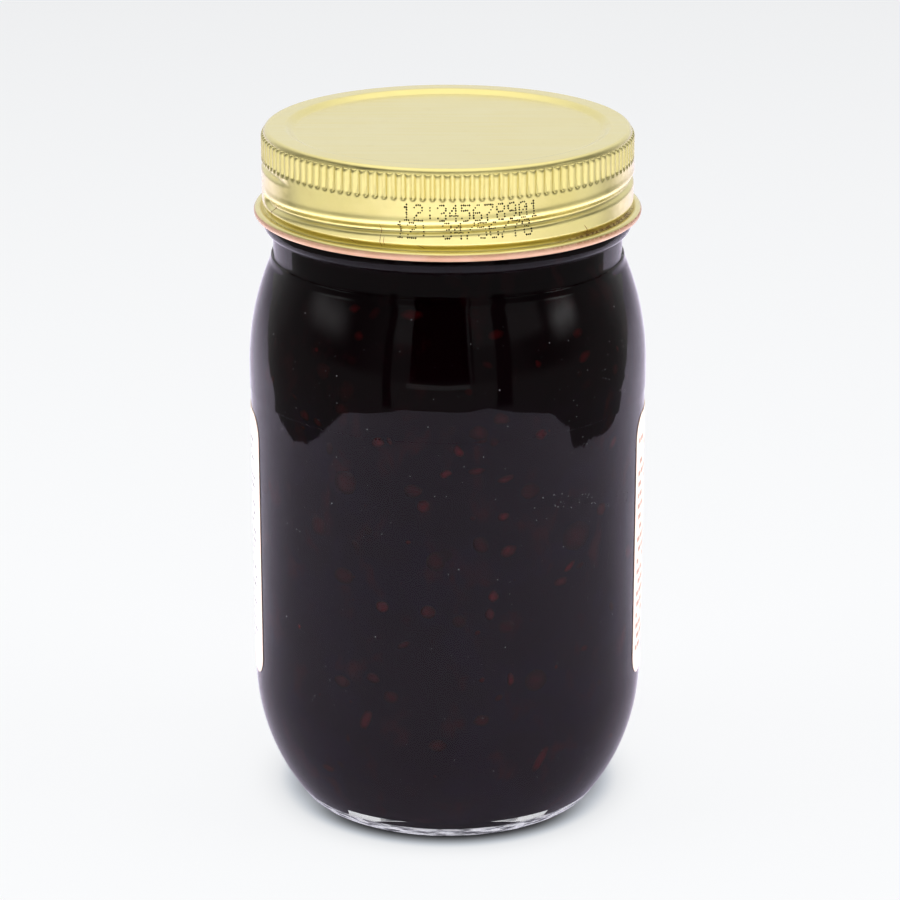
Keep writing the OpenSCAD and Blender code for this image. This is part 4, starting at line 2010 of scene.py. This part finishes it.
@dataclass
class Dirt:
    """Dust and dried crumbs on the outside of the glass."""

    glass: Glass
    lift: float = 0.01
    dusty: tuple[float, float] = (-70, 70)
    dust_foot: float = 14
    dust_head: float = 108
    smudged: tuple[float, float] = (31, 66)
    smudge: Sequence[tuple[float, float]] = ((31, 71.8), (40, 70.6), (66, 66.2))
    smudge_below: float = 1.6
    smudge_above: float = 1.4

    def build(self, effects: Effects) -> None:
        """Makes the dust all round and the smudge of crumbs at the right.

        Args:
            effects: The shared node groups.
        """
        finish = Dust().make(effects)
        height = np.linspace(self.dust_foot, self.dust_head, 60)
        wide = np.linspace(*self.dusty, 57)
        host = self._skin("dust_host", wide, height)
        ride(scatter_grower().grow("glass_dust", host, Density=50000.0, Seed=2, Smallest=0.05 * MM,
                                   Largest=0.16 * MM, Flatness=0.3, Roughen=0.03 * MM, Grain=6000.0,
                                   Weakest=0.3, Strongest=1.0, Material=finish), "clear_glass")
        wide = np.linspace(*self.smudged, 30)
        middle = np.interp(wide, *zip(*self.smudge))
        spread = np.linspace(-self.smudge_below, self.smudge_above, 6)
        host = self._skin("crumb_host", wide, middle[None] + spread[:, None])
        ride(scatter_grower().grow("glass_crumbs", host, Density=1.7e6, Seed=6, Smallest=0.03 * MM,
                                   Largest=0.16 * MM, Flatness=0.35, Roughen=0.08 * MM, Grain=4000.0,
                                   Weakest=0.3, Strongest=1.0, Material=finish), "clear_glass")

    def _skin(self, name: str, angle: np.ndarray, height: np.ndarray) -> bpy.types.Object:
        """Part of the glass's outer surface, as a host.

        Args:
            name: Name of the host.
            angle: Angles of its columns.
            height: Heights of its rows, or of every point.

        Returns:
            The host.
        """
        level = height if height.ndim == 2 else np.repeat(height[:, None], len(angle), axis=1)
        return band(name, angle, level, self.glass.skin_at(level) + self.lift)


# ---------------------------------------------------------------- surroundings


@dataclass(frozen=True)
class Card:
    """A patch of the surroundings that shows in reflections, in degrees round and above the horizon."""

    left: float
    right: float
    foot: float
    head: float
    light: float
    soft_side: float = 1.5
    soft_height: float = 1.5


@dataclass(frozen=True)
class Lamp:
    """A soft light: its place and sides in metres, its power in watts and its tilt in degrees."""

    name: str
    place: Point
    size: tuple[float, float]
    power: float
    tilt: float | None = None
    aim: Point = (0.0, 0.0, 0.07)

    def hang(self) -> bpy.types.Object:
        """Puts the light in the scene, turned to the jar unless it has a tilt of its own."""
        light = bpy.data.lights.new(self.name, "AREA")
        light.shape = "RECTANGLE"
        light.size, light.size_y = self.size
        light.energy = self.power
        holder = bpy.data.objects.new(self.name, light)
        holder.location = self.place
        if self.tilt is None:
            away = Vector(self.place) - Vector(self.aim)
            holder.rotation_euler = away.to_track_quat("Z", "Y").to_euler()
        else:
            holder.rotation_euler = (math.radians(self.tilt), 0, 0)
        holder.visible_camera = False
        bpy.context.scene.collection.objects.link(holder)
        return holder


@dataclass(frozen=True)
class Studio:
    """The pale floor, the light, what the jar reflects and the camera.

    Lengths are in metres here. Each entry of the room's light has the angles from the front between
    which it changes and its two values, a painted shadow has the radii that it fades between and its share,
    and the ceiling has the two heights in degrees where it starts and is whole, and its light.
    """

    backdrop: Point = (0.925, 0.93, 0.935)
    cards: Sequence[Card] = (
        Card(-200, 200, -40, -1, 0.30, 3.0, 3.0),
        Card(-92, -66, 9, 19, 1.15, 8.0, 5.0),
        Card(67, 84, 10, 19, 1.9, 6.0, 5.0),
        Card(30, 60, 13, 27, 0.42, 4.0, 3.0),
        Card(-37, -21, -13, 32, 0.05, 0.8, 1.5),
        Card(12, 37, -13, 30, 0.05, 0.8, 1.5),
        Card(-32, -21, -13, 12, 0.22, 0.8, 2.5),
        Card(-32, -21, 12, 32, 0.46, 0.8, 3.0),
        Card(12, 28, -13, 12, 0.24, 0.8, 2.5),
        Card(12, 28, 12, 30, 0.40, 0.8, 3.0),
        Card(13.6, 15.0, -3, 28, 0.10, 0.3, 2.0),
        Card(-32, 28, -13, -2, 0.34, 0.8, 1.2),
        Card(-21, 12, -3, 48, 0.0, 0.6, 4.0),
        Card(-23, 12, -4.4, -2.4, 0.75, 0.8, 0.4),
    )
    room: Sequence[tuple[float, float, float, float]] = (
        (36, 56, 0.16, 0.09),
        (56, 100, 0.0, 0.20),
        (100, 150, 0.0, 0.58),
    )
    ceiling: tuple[float, float, float] = (34, 60, 1.15)
    lens: float = 129.24
    stand: Point = (0.00045, -0.607, 0.2807)
    look_down: float = 19.11
    floor_r: float = 3.0
    table_front: float = 0.405
    table_half: float = 0.262
    table_corner: float = 0.318
    table_sweep: float = 0.10
    floor_columns: int = 96
    floor_light: float = 0.900
    # Painted falloff of the floor's light away from the jar.
    floor_falloff: float = 0.060
    floor_tone: Point = (0.992, 0.998, 1.008)
    # Tint and rings of the painted shadow round the jar's foot.
    shadow_tone: Point = (0.945, 0.985, 1.045)
    close_shadow: tuple[float, float, float] = (0.0297, 0.0352, 0.52)
    wide_shadow: tuple[float, float, float] = (0.0285, 0.044, 0.42)
    overhead: Lamp = Lamp("overhead", (0.0, 0.1, 0.9), (0.7, 0.7), 1.0)
    sides: Sequence[Lamp] = (
        Lamp("left", (-0.7, -0.1, 0.4), (0.5, 0.5), 6.0),
        Lamp("right", (0.7, -0.1, 0.4), (0.5, 0.5), 6.0),
    )
    glows: Sequence[Lamp] = (
        Lamp("table_glow", (0.0, -1.05, 0.0005), (3.2, 2.4), 15.0, 180.0),
        Lamp("room_glow", (0.0, -1.3, 0.45), (2.6, 0.9), 3.6, 90.0),
    )

    def build(self) -> None:
        """Sets up the surroundings."""
        self._camera()
        self._world()
        self._floor()
        self._lamps()
        view = bpy.context.scene.view_settings
        view.view_transform = "Standard"
        view.gamma = 0.75

    def _camera(self) -> None:
        """Places the camera."""
        camera = bpy.data.objects.new("camera", bpy.data.cameras.new("camera"))
        camera.data.lens = self.lens
        camera.data.sensor_width = 36.0
        camera.data.clip_start = 0.01
        camera.location = self.stand
        camera.rotation_euler = (math.radians(90 - self.look_down), 0, 0)
        bpy.context.scene.collection.objects.link(camera)
        bpy.context.scene.camera = camera

    def _world(self) -> None:
        """Lights the scene from all round and gives the glass something to reflect."""
        world = bpy.data.worlds.new("studio")
        world.use_nodes = True
        bpy.context.scene.world = world
        g = Graph(world.node_tree)
        world.node_tree.nodes.clear()
        way = g.node("ShaderNodeTexCoord").outputs["Generated"]
        angle = g.angle(way)
        rise = g.math("DEGREES", g.math("ARCSINE", g.split(way)[2]))
        off = g.math("ABSOLUTE", angle)
        light = g.plus(*(g.ramp(off, *step) for step in self.room))
        for card in self.cards:
            mask = g.times(g.box(angle, card.left, card.right, card.soft_side),
                           g.box(rise, card.foot, card.head, card.soft_height))
            if card.left < -180:
                mask = g.times(mask, g.ramp(off, 100, 130, 1.0, 0.0))
            light = g.plus(light, g.times(mask, g.minus(card.light, light)))
        start, end, bright = self.ceiling
        light = g.plus(light, g.times(g.ramp(rise, start, end), g.minus(bright, light)))
        seen = g.node("ShaderNodeLightPath").outputs["Is Camera Ray"]
        grey = g.node("ShaderNodeCombineColor", {0: light, 1: light, 2: g.times(light, 1.01)}).outputs[0]
        shade = g.node("ShaderNodeBackground", {"Color": g.mix(seen, grey, self.backdrop)})
        g.node("ShaderNodeOutputWorld", {"Surface": shade.outputs[0]})

    def _table(self, g: Graph, place: Socket) -> Socket:
        """Where the table lies under the floor's points.

        Args:
            g: The floor's graph.
            place: The point's coordinates.

        Returns:
            1 on the table and 0 past its uneven edge.
        """
        x, y, _ = g.split(place)
        off = g.math("ABSOLUTE", x)
        wave = g.times(g.minus(g.noise(place, 14.0, 4.0, 0.6), 0.5), 0.05)
        slant = g.plus(g.times(off, 0.914), g.times(g.math("MINIMUM", y, 0.0), -0.406))
        slant = g.minus(slant, g.times(g.math("MAXIMUM", y, 0.0), 4.0))
        half = g.plus(self.table_half, g.math("MAXIMUM", g.minus(y, self.table_sweep), 0.0))
        room = g.math("MINIMUM", g.minus(half, off), g.plus(self.table_front, y))
        room = g.math("MINIMUM", room, g.minus(self.table_corner, slant))
        return g.ramp(g.plus(room, wave), -0.002, 0.002)

    def _painted_foot_shadow(self, g: Graph, far: Socket, y: Socket) -> Socket:
        """The painted shadow of the jar's foot: how much it darkens the floor.

        Args:
            g: The floor's graph.
            far: Distance from the jar's axis.
            y: Distance behind it.

        Returns:
            The loss of light.
        """
        facing = g.ramp(g.math("DIVIDE", g.math("ABSOLUTE", y), far), 0.4, 0.85, 0.35, 1.0)
        near, end, share = self.close_shadow
        close = g.times(g.ramp(far, near, end, 1.0, 0.0), facing, share)
        near, end, share = self.wide_shadow
        wide = g.times(g.math("POWER", g.ramp(far, near, end, 1.0, 0.0, False), 3.0), share)
        return g.plus(close, wide)

    def _floor(self) -> None:
        """Lays the pale floor, which ends at the table's edge for all but the camera."""
        material = bpy.data.materials.new("pale_floor")
        material.use_nodes = True
        g = Graph(material.node_tree)
        material.node_tree.nodes.clear()
        place = g.node("ShaderNodeTexCoord").outputs["Object"]
        x, y, _ = g.split(place)
        far = g.reach(x, y)
        seen = g.node("ShaderNodeLightPath").outputs["Is Camera Ray"]
        # Painted shadow round the jar's foot and painted falloff of light away from it, both taken off the
        # floor's glow.
        painted_shadow = self._painted_foot_shadow(g, far, y)
        falloff = g.ramp(far, 0.05, 0.95, 0.0, self.floor_falloff, False)
        glow = g.minus(g.minus(self.floor_light, falloff), painted_shadow)
        shaded = g.mix(g.ramp(painted_shadow, 0.0, 0.35), self.floor_tone, self.shadow_tone)
        tone = g.mix(seen, (0.955, 0.91, 1.03), shaded)
        # Painted light: for all but the camera the floor glows brighter behind the jar.
        behind = g.ramp(y, -0.02, 0.12, 0.11, 0.30)
        extra = g.plus(g.times(seen, glow), g.times(g.minus(1.0, seen), behind))
        albedo = g.mix(seen, (0.61, 0.57, 0.67), (0.05, 0.05, 0.05))
        shader = g.node("ShaderNodeBsdfPrincipled", {"Base Color": albedo, "Roughness": 0.6,
                                                     "Specular IOR Level": 0.0, "Emission Color": tone,
                                                     "Emission Strength": extra})
        gone = g.node("ShaderNodeBsdfTransparent")
        show = g.math("MAXIMUM", seen, self._table(g, place))
        both = g.node("ShaderNodeMixShader", {0: show, 1: gone.outputs[0], 2: shader.outputs[0]})
        g.node("ShaderNodeOutputMaterial", {"Surface": both.outputs[0]})
        count = self.floor_columns
        turn = np.linspace(0, 2 * math.pi, count, endpoint=False)
        points = np.column_stack((np.cos(turn), np.sin(turn), np.zeros(count))) * self.floor_r / MM
        points[:, 2] = -0.01
        floor = finish_mesh("floor", points, [list(range(count))], [material])

    def _lamps(self) -> None:
        """Hangs soft lights above and beside the jar, which the glass doesn't mirror."""
        for lamp in (self.overhead, *self.sides):
            holder = lamp.hang()
            holder.visible_glossy = False
            holder.visible_transmission = False

    def light_lid(self, pieces: Iterable[bpy.types.Object]) -> None:
        """Lights the lid apart from the rest.

        The glow of the bright table falls on the lid alone, and the lamps at the sides leave it out.

        Args:
            pieces: The lid's pieces.
        """
        group = bpy.data.collections.new("lid_pieces")
        rest = bpy.data.collections.new("all_but_the_lid")
        for piece in pieces:
            group.objects.link(piece)
            rest.objects.link(piece)
        for member in rest.collection_objects:
            member.light_linking.link_state = "EXCLUDE"
        for lamp in self.sides:
            bpy.data.objects[lamp.name].light_linking.receiver_collection = rest
        for lamp in self.glows:
            lamp.hang().light_linking.receiver_collection = group


# ---------------------------------------------------------------- making it


def main() -> None:
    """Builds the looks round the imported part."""
    logging.basicConfig(level=logging.INFO, format="%(name)s: %(message)s")
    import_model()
    datum = Datum.read()
    effects = Effects()
    glass = Glass(datum)
    studio = Studio()
    studio.build()
    glass.build(effects)
    Jam(datum, glass).build(effects)
    studio.light_lid(Lid(datum).build(effects))
    Label(datum).build(effects)
    Dirt(glass).build(effects)


if __name__ == "__main__":
    main()
